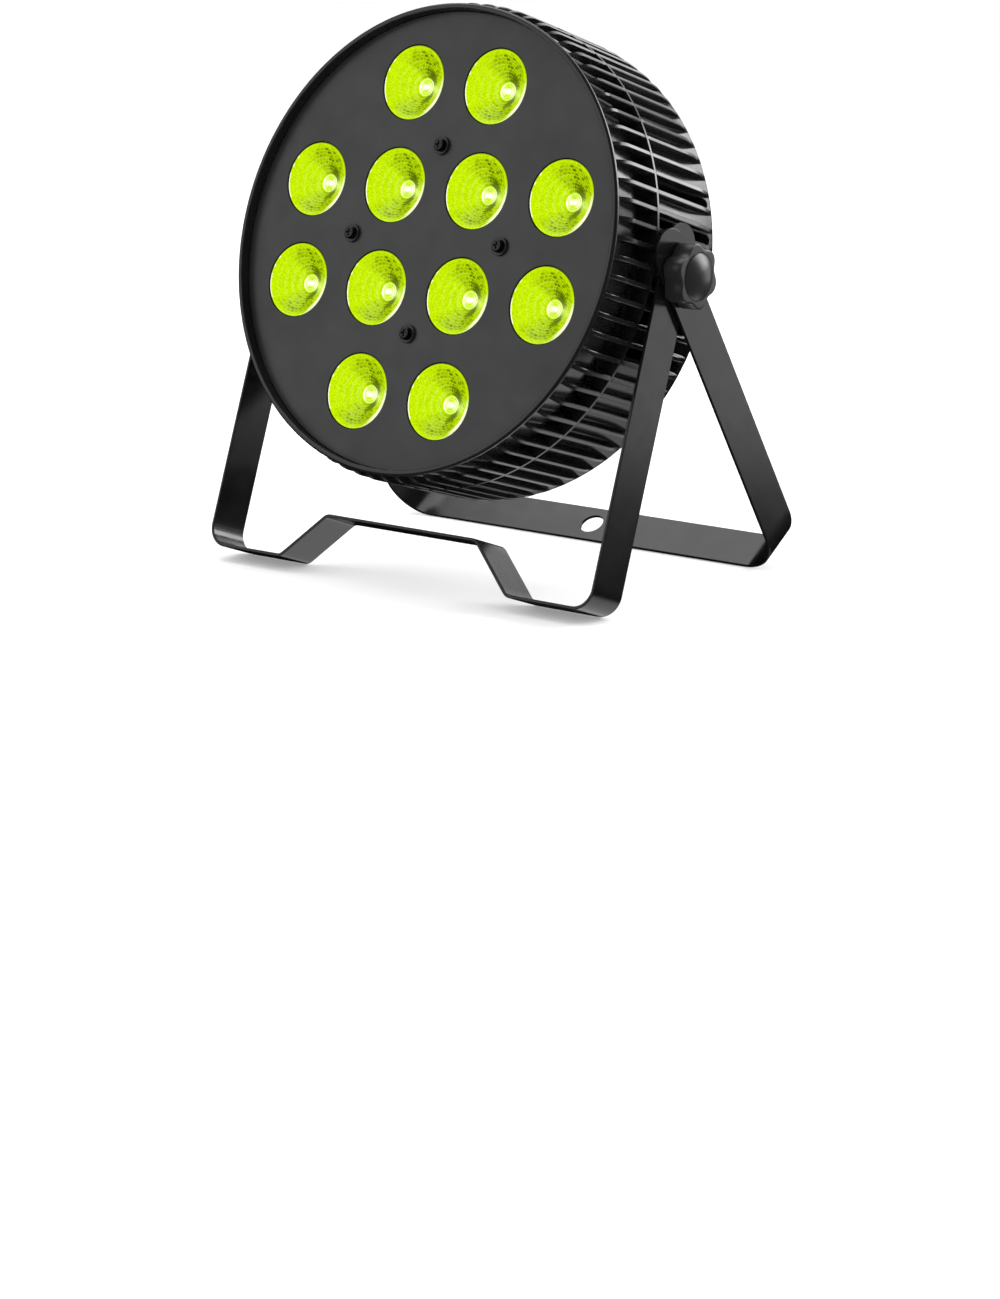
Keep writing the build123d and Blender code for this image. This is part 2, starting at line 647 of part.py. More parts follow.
def data_socket_body(side):
    """A round socket barrel behind a rectangular flange with two screw holes."""
    with BuildPart() as socket:
        with BuildSketch(rear_spot(side * DATA_X, DATA_U)) as flange:
            RectangleRounded(DATA_W, DATA_H, DATA_CORNER_R)
            with Locations(*DATA_SCREWS):
                Circle(DATA_SCREW_HOLE_R, mode=Mode.SUBTRACT)
        extrude(amount=FLANGE_T)
        with BuildSketch(rear_spot(side * DATA_X, DATA_U, -DATA_DEPTH)):
            Circle(DATA_R)
        extrude(amount=DATA_DEPTH)
    return socket.part


with BuildPart() as dmx_in_socket:
    add(data_socket_body(-1))
    with BuildSketch(rear_spot(-DATA_X, DATA_U, FLANGE_T)):
        Circle(CUP_R)
    extrude(amount=-CUP_DEPTH, mode=Mode.SUBTRACT)
save(dmx_in_socket.part, "dmx_in_socket")

with BuildPart() as dmx_in_pins:
    with BuildSketch(rear_spot(-DATA_X, DATA_U, FLANGE_T - CUP_DEPTH)):
        with PolarLocations(PIN_PCD_R, 3, start_angle=90):
            Circle(PIN_R)
    extrude(amount=PIN_L)
save(dmx_in_pins.part, "dmx_in_pins")

with BuildPart() as dmx_out_socket:
    add(data_socket_body(1))
    with BuildSketch(rear_spot(DATA_X, DATA_U + LATCH_U, -LATCH_HOUSING_DEPTH)):
        Rectangle(LATCH_HOUSING_W, LATCH_HOUSING_H)
    extrude(amount=LATCH_HOUSING_DEPTH)
    with BuildSketch(rear_spot(DATA_X, DATA_U, FLANGE_T)):
        Circle(GROOVE_R)
        Circle(GROOVE_INNER_R, mode=Mode.SUBTRACT)
        with PolarLocations(PIN_PCD_R, 3, start_angle=-90):
            Circle(PIN_HOLE_R)
    extrude(amount=-GROOVE_DEPTH, mode=Mode.SUBTRACT)
    with BuildSketch(rear_spot(DATA_X, DATA_U + LATCH_U, FLANGE_T)):
        Rectangle(LATCH_W + 2 * FIT, LATCH_H + 2 * FIT)
    extrude(amount=-LATCH_SLOT_DEPTH, mode=Mode.SUBTRACT)
save(dmx_out_socket.part, "dmx_out_socket")

with BuildPart() as dmx_out_latch:
    with BuildSketch(rear_spot(DATA_X, DATA_U + LATCH_U, -LATCH_BACK)):
        Rectangle(LATCH_W, LATCH_H)
    extrude(amount=LATCH_BACK + FLANGE_T + LATCH_PROUD)
save(dmx_out_latch.part, "dmx_out_latch")

with BuildPart() as power_inlet:
    with BuildSketch(rear_spot(-POWER_X, POWER_U)):
        RectangleRounded(POWER_W, POWER_H, POWER_CORNER_R)
    extrude(amount=FLANGE_T)
    with BuildSketch(rear_spot(-POWER_X, POWER_U, -POWER_DEPTH)):
        Rectangle(POWER_BODY_W, POWER_BODY_H)
    extrude(amount=POWER_DEPTH)
    with BuildSketch(rear_spot(-POWER_X, POWER_U, FLANGE_T)):
        RectangleRounded(RECESS_W, RECESS_H, RECESS_CORNER_R)
    extrude(amount=-RECESS_DEPTH, mode=Mode.SUBTRACT)
save(power_inlet.part, "power_inlet")

with BuildPart() as power_inlet_blades:
    with BuildSketch(rear_spot(-POWER_X, POWER_U, FLANGE_T - RECESS_DEPTH)):
        with Locations(*BLADE_SPOTS):
            Rectangle(BLADE_W, BLADE_H)
    extrude(amount=BLADE_L)
save(power_inlet_blades.part, "power_inlet_blades")

with BuildPart() as power_outlet:
    with BuildSketch(rear_spot(POWER_X, POWER_U)):
        RectangleRounded(POWER_W, POWER_H, POWER_CORNER_R)
    extrude(amount=FLANGE_T)
    with BuildSketch(rear_spot(POWER_X, POWER_U, -POWER_DEPTH)):
        Rectangle(POWER_BODY_W, POWER_BODY_H)
    extrude(amount=POWER_DEPTH)
    with BuildSketch(rear_spot(POWER_X, POWER_U, FLANGE_T)):
        with Locations(*BLADE_SPOTS):
            Rectangle(BLADE_SLOT_W, BLADE_SLOT_H)
    extrude(amount=-BLADE_SLOT_DEPTH, mode=Mode.SUBTRACT)
save(power_outlet.part, "power_outlet")

EAR_PLANE = Plane(origin=rear_spot(0, EYE_U).origin, x_dir=(1, 0, 0), z_dir=UP)
with BuildPart() as safety_eye:
    with BuildSketch(rear_spot(0, EYE_U + EYE_BASE_UP)):
        Rectangle(EYE_BASE_W, EYE_BASE_H)
        screw_y = EYE_BASE_UP - EYE_SCREW_UP
        with Locations((-EYE_SCREW_X, screw_y), (EYE_SCREW_X, screw_y)):
            Circle(EYE_SCREW_HOLE_R, mode=Mode.SUBTRACT)
    extrude(amount=FLANGE_T)
    with BuildSketch(EAR_PLANE):
        with Locations((0, EYE_HOLE_MIDDLE / 2)):
            Rectangle(2 * EYE_RING_R, EYE_HOLE_MIDDLE)
        with Locations((0, EYE_HOLE_MIDDLE)):
            Circle(EYE_RING_R)
            Circle(EYE_HOLE_R, mode=Mode.SUBTRACT)
    extrude(amount=FLANGE_T)
save(safety_eye.part, "safety_eye")

# ---- Fan and boards ------------------------------------------------------------------------
FAN_PLANE = PANEL_INNER.offset(-FAN_T)
with BuildPart(FAN_PLANE) as fan_frame:
    with BuildSketch(FAN_PLANE):
        RectangleRounded(FAN_SIZE, FAN_SIZE, 4)
        Circle(FAN_BORE_R, mode=Mode.SUBTRACT)
    extrude(amount=FAN_T)
    with BuildSketch(FAN_PLANE.offset(FAN_T - FAN_ARM_T)):
        Circle(FAN_HUB_R)
        with PolarLocations(16.5, 3, start_angle=90):
            Rectangle(16, 3)
        Circle(FAN_SHAFT_R + FIT, mode=Mode.SUBTRACT)
    extrude(amount=FAN_ARM_T)
save(fan_frame.part, "fan_frame")

with BuildPart() as fan_blade:
    with BuildSketch(Plane.YZ.offset(FAN_BLADE_IN)):
        with Locations((0, (ROTOR_END - FAN_ARM_T) / 2)):
            Rectangle(FAN_BLADE_W, FAN_BLADE_T, rotation=FAN_BLADE_PITCH)
    extrude(amount=FAN_BLADE_L)

with BuildPart(FAN_PLANE) as fan_rotor:
    with BuildSketch(FAN_PLANE.offset(ROTOR_START)):
        Circle(FAN_HUB_R)
    extrude(amount=ROTOR_END - ROTOR_START)
    with PolarLocations(0, FAN_BLADES):
        add(fan_blade.part.moved(Location((0, 0, FAN_ARM_T))))
    with BuildSketch(FAN_PLANE.offset(ROTOR_END)):
        Circle(FAN_SHAFT_R)
    extrude(amount=2.8)
save(fan_rotor.part, "fan_rotor")

PSU_PLANE = Plane(origin=at(0, PSU_U, PARTING - SINK_BASE_T - SINK_RIB_H).origin,
                  x_dir=(1, 0, 0), z_dir=-FORWARD)
with BuildPart(PSU_PLANE) as power_supply_board:
    with BuildSketch(PSU_PLANE):
        with GridLocations(PSU_W - 14, PSU_H - 10, 2, 2):
            Circle(2.5)
    extrude(amount=PSU_STANDOFF)
    with BuildSketch(PSU_PLANE.offset(PSU_STANDOFF)):
        Rectangle(PSU_W, PSU_H)
    extrude(amount=CIRCUIT_T)
    with BuildSketch(PSU_PLANE.offset(PSU_STANDOFF + CIRCUIT_T)):
        with Locations((-24, 4)):
            Rectangle(24, 20)
        with Locations((14, -8), (26, -8), (38, -8)):
            Circle(5)
        with Locations((22, 10)):
            Rectangle(30, 4)
    extrude(amount=PSU_PARTS_H)
save(power_supply_board.part, "power_supply_board")

# ---- Pivot hardware ------------------------------------------------------------------------
def rings(spans, outer_r, inner_r):
    """One flat ring on each side for every inner and outer distance along the pivot axis."""
    with BuildPart() as group:
        for side, inner, outer in spans:
            with BuildSketch(side_plane(side, inner)):
                Circle(outer_r)
                Circle(inner_r, mode=Mode.SUBTRACT)
            extrude(amount=outer - inner)
    return group.part


BOTH = (1, -1)
insert_spans = [(side, REAR_INNER_R - INSERT_L, BOSS_FACE) for side in BOTH]
pivot_spans = [(side, BOSS_FACE, FRONT_OUT - STRAP_T - FIT) for side in BOTH]
strap_spans = [(side, FRONT_OUT, REAR_OUT - STRAP_T - FIT) for side in BOTH]
save(rings(insert_spans, INSERT_R - PRESS_GAP, STUD_R + FIT), "pivot_inserts")
save(rings(pivot_spans, BOSS_R, STUD_R + FIT), "pivot_washers")
save(rings(strap_spans, STRAP_WASHER_R, STUD_R + FIT), "strap_washers")

for side, hand in ((1, "right"), (-1, "left")):
    washer_span = [(side, REAR_OUT + FIT, KNOB_INNER)]
    save(rings(washer_span, KNOB_WASHER_R, STUD_R + FIT), f"knob_washer_{hand}")

    with BuildPart() as stud:
        with BuildSketch(side_plane(side, STUD_INNER)):
            Circle(STUD_R)
        extrude(amount=KNOB_FACE - STUD_COVER - STUD_INNER)
    save(stud.part, f"knob_stud_{hand}")

    knob_plane = side_plane(side, KNOB_INNER)
    valley = KNOB_VALLEY_R + KNOB_SCOOP_R
    with BuildPart(knob_plane) as knob:
        with BuildSketch(knob_plane) as star:
            Circle(KNOB_TIP_R)
            with PolarLocations(valley, KNOB_LOBES, start_angle=KNOB_PHASE + 180 / KNOB_LOBES):
                Circle(KNOB_SCOOP_R, mode=Mode.SUBTRACT)
            fillet(star.vertices(), KNOB_SCOOP_ROUND)
        extrude(amount=KNOB_FACE - KNOB_INNER)
        with BuildSketch(Plane(origin=PIVOT, x_dir=(side, 0, 0), z_dir=(0, 0, 1))):
            with BuildLine():
                Polyline((KNOB_FACE + CAP_H, 0), (KNOB_FACE - 1, 0), (KNOB_FACE - 1, CAP_R),
                         (KNOB_FACE, CAP_R))
                RadiusArc((KNOB_FACE, CAP_R), (KNOB_FACE + CAP_H, 0), CAP_DOME_R)
            make_face()
        revolve(axis=Axis(PIVOT, (side, 0, 0)))
        with BuildSketch(knob_plane):
            Circle(STUD_R)
        extrude(amount=KNOB_FACE - STUD_COVER - KNOB_INNER, mode=Mode.SUBTRACT)
    save(knob.part, f"knob_{hand}")
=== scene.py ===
import json
from math import asin, cos, pi, radians, sin, sqrt

import bmesh
import bpy
from mathutils import Matrix, Vector

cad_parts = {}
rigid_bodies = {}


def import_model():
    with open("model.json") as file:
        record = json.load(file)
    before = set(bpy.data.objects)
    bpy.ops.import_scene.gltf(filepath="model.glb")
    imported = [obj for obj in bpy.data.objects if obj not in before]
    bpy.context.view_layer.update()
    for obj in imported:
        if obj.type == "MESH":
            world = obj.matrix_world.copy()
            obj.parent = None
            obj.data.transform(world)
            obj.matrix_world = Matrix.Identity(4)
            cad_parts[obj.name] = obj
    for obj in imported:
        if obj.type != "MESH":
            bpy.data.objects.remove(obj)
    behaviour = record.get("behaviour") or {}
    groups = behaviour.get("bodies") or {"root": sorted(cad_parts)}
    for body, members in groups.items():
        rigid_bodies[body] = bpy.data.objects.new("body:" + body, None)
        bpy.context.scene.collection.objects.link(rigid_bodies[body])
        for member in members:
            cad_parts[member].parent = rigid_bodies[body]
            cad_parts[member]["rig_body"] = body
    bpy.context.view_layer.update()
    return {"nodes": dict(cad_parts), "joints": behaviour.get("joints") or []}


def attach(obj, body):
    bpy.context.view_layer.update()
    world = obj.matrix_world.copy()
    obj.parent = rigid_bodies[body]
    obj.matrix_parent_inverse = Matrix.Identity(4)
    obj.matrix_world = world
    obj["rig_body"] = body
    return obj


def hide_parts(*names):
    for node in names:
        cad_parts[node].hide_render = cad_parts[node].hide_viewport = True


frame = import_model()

# Lengths below are in millimetres unless a comment says otherwise; MM turns them into metres.
MM = 0.001
joints = {joint["name"]: joint for joint in frame["joints"]}
PIVOT = Vector(joints["head_tilt"]["pos_m"])
X_AXIS = Vector((1, 0, 0))
FORWARD = -Vector(joints["fan_spin"]["axis"]).normalized()
UP = FORWARD.cross(X_AXIS)
LENS_FORWARD = 36.8
FACE = PIVOT + FORWARD * LENS_FORWARD * MM


def frame_matrix(origin, x_dir, y_dir):
    """A right-handed frame in the row's space, scaled so that its own units are millimetres."""
    x, y = x_dir.normalized(), y_dir.normalized()
    z = x.cross(y)
    turn = Matrix((x, y, z)).transposed().to_4x4()
    return Matrix.Translation(origin) @ turn @ Matrix.Scale(MM, 4)


HEAD = frame_matrix(FACE, X_AXIS, UP)


# ---- Small mesh tools ------------------------------------------------------------------------
def finish_mesh(mesh, smooth_angle):
    """Faces outward, smooth shading with edges sharper than the angle kept crisp."""
    work = bmesh.new()
    work.from_mesh(mesh)
    bmesh.ops.remove_doubles(work, verts=work.verts, dist=1e-7)
    bmesh.ops.recalc_face_normals(work, faces=work.faces)
    work.to_mesh(mesh)
    work.free()
    mesh.shade_smooth()
    mesh.set_sharp_from_angle(angle=radians(smooth_angle))


def add_piece(name, mesh, body, slot, material, *replaced):
    """One finished piece, riding on its body and standing for the CAD nodes it replaces."""
    piece = bpy.data.objects.new(name, mesh)
    bpy.context.scene.collection.objects.link(piece)
    piece.data.materials.append(material)
    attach(piece, body)
    if replaced:
        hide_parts(*replaced)


def mesh_from(name, vertices, faces, matrix, smooth_angle):
    mesh = bpy.data.meshes.new(name)
    mesh.from_pydata([matrix @ Vector(v) for v in vertices], [], faces)
    finish_mesh(mesh, smooth_angle)
    return mesh


def softened(node, slot, material, width):
    """A copy of a CAD node with its sharp edges rounded, standing for that node."""
    sharp_from, smooth_angle = 50, 20
    mesh = frame["nodes"][node].data.copy()
    mesh.name = node + "_look"
    mesh.materials.clear()
    work = bmesh.new()
    work.from_mesh(mesh)
    bmesh.ops.remove_doubles(work, verts=work.verts, dist=2e-6)
    bmesh.ops.dissolve_limit(work, angle_limit=radians(1), verts=work.verts, edges=work.edges)
    sharp = [e for e in work.edges if e.is_manifold and e.calc_face_angle(0) > radians(sharp_from)]
    bmesh.ops.bevel(work, geom=sharp, offset=width * MM, segments=2, affect="EDGES",
                    profile=0.5, clamp_overlap=True)
    work.to_mesh(mesh)
    work.free()
    mesh.shade_smooth()
    mesh.set_sharp_from_angle(angle=radians(smooth_angle))
    body = frame["nodes"][node]["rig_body"]
    add_piece(node + "_look", mesh, body, slot, material, node)


def revolve(name, profile, matrix, count):
    """Turns a closed loop of (radius, height) points about the frame's z axis."""
    vertices, faces = [], []
    for radius, height in profile:
        for k in range(count):
            angle = 2 * pi * k / count
            vertices.append((radius * cos(angle), radius * sin(angle), height))
    rows = len(profile)
    for i in range(rows):
        for k in range(count):
            a, b = i * count, ((i + 1) % rows) * count
            n = (k + 1) % count
            faces.append((a + k, a + n, b + n, b + k))
    return mesh_from(name, vertices, faces, matrix, 35)


def steps(start, end, count):
    return [start + (end - start) * k / count for k in range(count + 1)]


def arc(centre, radius, start, end, count):
    """Points on an arc, angles in degrees."""
    return [(centre[0] + radius * cos(radians(angle)), centre[1] + radius * sin(radians(angle)))
            for angle in steps(start, end, count)]


# ---- Materials -------------------------------------------------------------------------------
def new_material(name, colour, roughness, metallic=0.0, specular=0.5):
    material = bpy.data.materials.new(name)
    material.use_nodes = True
    shader = material.node_tree.nodes["Principled BSDF"]
    shader.inputs["Base Color"].default_value = (*colour, 1)
    shader.inputs["Roughness"].default_value = roughness
    shader.inputs["Metallic"].default_value = metallic
    shader.inputs["Specular IOR Level"].default_value = specular
    return material, material.node_tree.nodes, material.node_tree.links, shader


def noise(nodes, links, scale, detail=3.0):
    place = nodes.new("ShaderNodeTexCoord")
    texture = nodes.new("ShaderNodeTexNoise")
    texture.inputs["Scale"].default_value = scale
    texture.inputs["Detail"].default_value = detail
    links.new(place.outputs["Object"], texture.inputs["Vector"])
    return texture


def spread(nodes, links, source, low, high):
    """Maps a texture's middle range onto low to high."""
    ranger = nodes.new("ShaderNodeMapRange")
    ranger.inputs["From Min"].default_value = 0.3
    ranger.inputs["From Max"].default_value = 0.7
    ranger.inputs["To Min"].default_value = low
    ranger.inputs["To Max"].default_value = high
    links.new(source, ranger.inputs["Value"])
    return ranger.outputs["Result"]


def tint(nodes, links, shader, source, dark, light):
    ramp = nodes.new("ShaderNodeValToRGB")
    ramp.color_ramp.elements[0].position = 0.35
    ramp.color_ramp.elements[1].position = 0.65
    ramp.color_ramp.elements[0].color = (*dark, 1)
    ramp.color_ramp.elements[1].color = (*light, 1)
    links.new(source, ramp.inputs["Fac"])
    links.new(ramp.outputs["Color"], shader.inputs["Base Color"])


def bump(nodes, links, shader, source, strength, distance):
    bumper = nodes.new("ShaderNodeBump")
    bumper.inputs["Strength"].default_value = strength
    bumper.inputs["Distance"].default_value = distance
    links.new(source, bumper.inputs["Height"])
    links.new(bumper.outputs["Normal"], shader.inputs["Normal"])


def coated(name, level, roughness, grain_scale, grain):
    """Paint or moulded plastic: a near-black with fine grain, uneven gloss and faint mottling."""
    base = (level, level * 1.01, level * 1.03)
    material, nodes, links, shader = new_material(name, base, roughness)
    mottle = noise(nodes, links, 35.0)
    tint(nodes, links, shader, mottle.outputs["Fac"], [c * 0.85 for c in base],
         [c * 1.15 for c in base])
    gloss = noise(nodes, links, 90.0)
    links.new(spread(nodes, links, gloss.outputs["Fac"], roughness * 0.85, roughness * 1.15),
              shader.inputs["Roughness"])
    texture = noise(nodes, links, grain_scale, 2.0)
    bump(nodes, links, shader, texture.outputs["Fac"], grain, 0.0002)
    return material


def metal(name, colour, roughness):
    """Bare or blackened metal: mottled colour and a fine turned grain."""
    material, nodes, links, shader = new_material(name, colour, roughness, 1.0)
    mottle = noise(nodes, links, 60.0)
    tint(nodes, links, shader, mottle.outputs["Fac"], [c * 0.85 for c in colour], colour)
    texture = noise(nodes, links, 400.0, 2.0)
    bump(nodes, links, shader, texture.outputs["Fac"], 0.1, 0.0001)
    links.new(spread(nodes, links, texture.outputs["Fac"], roughness * 0.8, roughness * 1.2),
              shader.inputs["Roughness"])
    return material


housing_paint = coated("housing_paint", 0.008, 0.22, 700.0, 0.06)
bracket_paint = coated("bracket_paint", 0.005, 0.20, 900.0, 0.05)
face_paint = coated("face_paint", 0.018, 0.34, 900.0, 0.05)
panel_paint = coated("panel_paint", 0.024, 0.40, 900.0, 0.10)
knob_plastic = coated("knob_plastic", 0.014, 0.32, 1200.0, 0.06)
black_plastic = coated("black_plastic", 0.008, 0.32, 900.0, 0.08)
gloss_black = coated("gloss_black", 0.003, 0.12, 900.0, 0.03)
button_rubber = coated("button_rubber", 0.040, 0.65, 1500.0, 0.25)
black_steel = metal("black_steel", (0.045, 0.045, 0.048), 0.32)
bare_steel = metal("bare_steel", (0.55, 0.55, 0.56), 0.28)
bare_aluminium = metal("bare_aluminium", (0.72, 0.73, 0.74), 0.35)
brass = metal("brass", (0.75, 0.55, 0.25), 0.3)


def circuit_material():
    """Green board with lighter copper tracks under the solder mask."""
    material, nodes, links, shader = new_material("circuit_board", (0.01, 0.10, 0.04), 0.35)
    place = nodes.new("ShaderNodeTexCoord")
    cells = nodes.new("ShaderNodeTexBrick")
    cells.inputs["Scale"].default_value = 160.0
    cells.inputs["Mortar Size"].default_value = 0.06
    cells.inputs["Color1"].default_value = (0.01, 0.09, 0.035, 1)
    cells.inputs["Color2"].default_value = (0.015, 0.12, 0.045, 1)
    cells.inputs["Mortar"].default_value = (0.05, 0.22, 0.08, 1)
    links.new(place.outputs["Object"], cells.inputs["Vector"])
    links.new(cells.outputs["Color"], shader.inputs["Base Color"])
    bump(nodes, links, shader, cells.outputs["Fac"], 0.3, 0.0001)
    return material


circuit_board = circuit_material()
led_white = coated("led_white", 0.7, 0.4, 300.0, 0.05)

# ---- Finned housing --------------------------------------------------------------------------
FINS = 80
PITCH = 2 * pi / FINS
POCKET_HALF = 3.25
COLUMNS, SLOT_COLUMN = 10, 4
PLAIN, OUTER, INNER = 0, 1, 2
RIM_R, RIM_INNER_R, RIM_FRONT, RIM_BACK = 110.0, 107.4, 5.1, 3.0
CREST_R, CREST_START_R, CREST_FULL = 112.4, 109.1, -6.7
PARTING, RING_HALF = -24.0, 0.6
SHOULDER_START, REAR_FACE = -60.0, -87.0
SHOULDER_R = SHOULDER_START - REAR_FACE
POCKET_END = -70.5
FRONT_INNER_R, REAR_INNER_R = 102.0, 104.5
SLOT_POCKETS = (11.25, 20.25, -11.25, -20.25, 168.75, 159.75, -168.75, -159.75)
SLOT_MIDDLE, SLOT_LENGTH, SLOT_WIDTH = -49.5, 39.0, 5.0
EDGE, FILLET = 0.35, 0.55
FRONT_FLOOR_R, FLOOR_SLOPE, FLOOR_DROP, DROP_START, DROP_LENGTH = 109.0, 1.1, 3.3, -10.0, 10.5
REAR_FLOOR_R, FLOOR_CLIMB, CLIMB_START = 107.9, 2.4, -53.0
PANEL_R, PANEL_T, PANEL_OPENING_R, REAR_WALL_INNER = 74.0, 1.5, 66.0, -83.0
INSERT_R, BOSS_R, BOSS_START, BOSS_FACE = 6.0, 10.0, 106.5, 112.9


def front_crest(z):
    """The fins sweep up from behind the rim on an arc, then run straight."""
    rise, run = CREST_R - CREST_START_R, RIM_BACK - CREST_FULL
    radius = (rise ** 2 + run ** 2) / (2 * rise)
    along = max(z - CREST_FULL, 0.0)
    return CREST_R - radius + sqrt(radius ** 2 - along ** 2)


def front_floor(z):
    """The front pockets run nearly level behind the rim, then deepen toward the parting ring."""
    level = min(max((RIM_BACK - z) / 12.0, 0.0), 1.0)
    fall = min(max((DROP_START - z) / DROP_LENGTH, 0.0), 1.0)
    return FRONT_FLOOR_R - FLOOR_SLOPE * level - FLOOR_DROP * fall * fall * (3 - 2 * fall)


def rear_crest(z):
    """The fins run straight, then round the shoulder."""
    along = max(SHOULDER_START - z, 0.0)
    return CREST_R - SHOULDER_R + sqrt(max(SHOULDER_R ** 2 - along ** 2, 0.0))


def rear_floor(z):
    """The rear pockets run level, then climb until they meet the shoulder."""
    share = max((CLIMB_START - z) / (CLIMB_START - POCKET_END), 0.0)
    return min(REAR_FLOOR_R + FLOOR_CLIMB * share ** 1.6, rear_crest(z))


def slot_half(z):
    """Half the vent slot's width at a depth: straight sides with round ends."""
    past = abs(z - SLOT_MIDDLE) - (SLOT_LENGTH - SLOT_WIDTH) / 2
    half = SLOT_WIDTH / 2
    if past <= 0:
        return half
    return sqrt(max(half ** 2 - past ** 2, 0.0))


def pitch_columns(crest, floor, slot):
    """Tangential place and radius of the ten columns across one pitch, crest edge to crest edge."""
    depth = crest - floor
    edge = min(EDGE, 0.3 * depth)
    fillet = min(FILLET, 0.4 * depth)
    half = [(-POCKET_HALF - edge, crest), (-POCKET_HALF, crest - edge),
            (-POCKET_HALF, floor + fillet), (-POCKET_HALF + fillet, floor), (-slot, floor)]
    return half + [(-y, r) for y, r in reversed(half)]


def on_ring(radius, tangential, turn, z):
    """A point at a radius and a sideways distance from the middle of a pocket."""
    angle = turn + asin(tangential / radius)
    return (radius * cos(angle), radius * sin(angle), z)


def fin_shell(name, rows, matrix):
    """A closed shell of revolution with pockets. Each row is (z, crest, floor, kind): an OUTER
    row crosses the vent slots outside the wall, an INNER row inside it, a PLAIN row neither."""
    turns = [PITCH * (k + 0.5) for k in range(FINS)]
    slotted = [any(abs((turn - radians(a) + pi) % (2 * pi) - pi) < PITCH / 4
                   for a in SLOT_POCKETS) for turn in turns]
    vertices, faces = [], []
    across = COLUMNS * FINS
    for z, crest, floor, kind in rows:
        slot = SLOT_WIDTH / 2 if kind == PLAIN else max(slot_half(z), 0.05)
        for turn, has_slot in zip(turns, slotted):
            width = slot if has_slot else SLOT_WIDTH / 2
            narrowing = crest / CREST_R if crest == floor else 1.0
            for tangential, radius in pitch_columns(crest, floor, width):
                vertices.append(on_ring(radius, tangential * narrowing, turn, z))
    count = len(rows)
    for i in range(count):
        following = (i + 1) % count
        cut = rows[i][3] != PLAIN and rows[following][3] != PLAIN
        for k in range(across):
            if cut and k % COLUMNS == SLOT_COLUMN and slotted[k // COLUMNS]:
                continue
            a, b, n = i * across, following * across, (k + 1) % across
            faces.append((a + k, a + n, b + n, b + k))
    outer = [i for i in range(count) if rows[i][3] == OUTER]
    inner = [i for i in range(count) if rows[i][3] == INNER]
    for pocket in [k for k in range(FINS) if slotted[k]]:
        left = pocket * COLUMNS + SLOT_COLUMN
        right = left + 1
        loop_out = [i * across + left for i in outer] + [i * across + right for i in outer[::-1]]
        loop_in = [i * across + left for i in inner[::-1]] + [i * across + right for i in inner]
        for j in range(len(loop_out)):
            n = (j + 1) % len(loop_out)
            faces.append((loop_out[j], loop_out[n], loop_in[n], loop_in[j]))
    return mesh_from(name, vertices, faces, matrix, 30)


def plain(points):
    """Rows without pockets through (radius, z) points."""
    return [(z, radius, radius, PLAIN) for radius, z in points]


def front_rows():
    rows = plain([(FRONT_INNER_R, -1.5), (RIM_INNER_R, -1.5), (RIM_INNER_R, 4.6)])
    rows += plain(arc((RIM_INNER_R + 0.5, RIM_FRONT - 0.5), 0.5, 180, 90, 3))
    rows += plain(arc((RIM_R - 1.2, RIM_FRONT - 1.2), 1.2, 90, 0, 6))
    rows += plain(arc((RIM_R - 0.3, RIM_BACK + 0.3), 0.3, 0, -90, 3))
    rows += plain([(CREST_START_R, RIM_BACK)])
    for z in steps(RIM_BACK - 0.4, CREST_FULL, 8) + steps(-9.0, PARTING + RING_HALF + 0.02, 6):
        rows.append((z, front_crest(z), front_floor(z), PLAIN))
    rows += plain([(CREST_R, PARTING + RING_HALF), (CREST_R, PARTING), (FRONT_INNER_R, PARTING)])
    return rows


def rear_rows():
    straight = (SLOT_LENGTH - SLOT_WIDTH) / 2
    slot_zs = [SLOT_MIDDLE + straight + SLOT_WIDTH / 2 * cos(radians(a)) for a in range(0, 91, 18)]
    slot_zs += steps(SLOT_MIDDLE + straight, SLOT_MIDDLE - straight, 6)[1:-1]
    slot_zs += [SLOT_MIDDLE - straight - SLOT_WIDTH / 2 * sin(radians(a)) for a in range(0, 91, 18)]
    rows = plain([(REAR_INNER_R, PARTING), (CREST_R, PARTING), (CREST_R, PARTING - RING_HALF)])
    for z in [PARTING - RING_HALF - 0.02, -26.5, -28.5]:
        rows.append((z, CREST_R, rear_floor(z), PLAIN))
    rows += [(z, rear_crest(z), rear_floor(z), OUTER) for z in slot_zs]
    rows += [(z, rear_crest(z), rear_floor(z), PLAIN) for z in (-69.6, POCKET_END)]
    first = asin((SHOULDER_START - POCKET_END) / SHOULDER_R)
    centre = (CREST_R - SHOULDER_R, SHOULDER_START)
    rows += plain(arc(centre, SHOULDER_R, -first * 180 / pi - 3, -90, 14))
    rows += plain([(PANEL_R + 0.4, REAR_FACE), (PANEL_R + 0.05, REAR_FACE + 0.35),
                   (PANEL_R + 0.05, REAR_FACE + PANEL_T), (PANEL_OPENING_R, REAR_FACE + PANEL_T),
                   (PANEL_OPENING_R, REAR_WALL_INNER), (86.0, REAR_WALL_INNER), (98.0, -78.5),
                   (103.0, -71.0)])
    rows += [(z, REAR_INNER_R, REAR_INNER_R, INNER) for z in slot_zs[::-1]]
    return rows


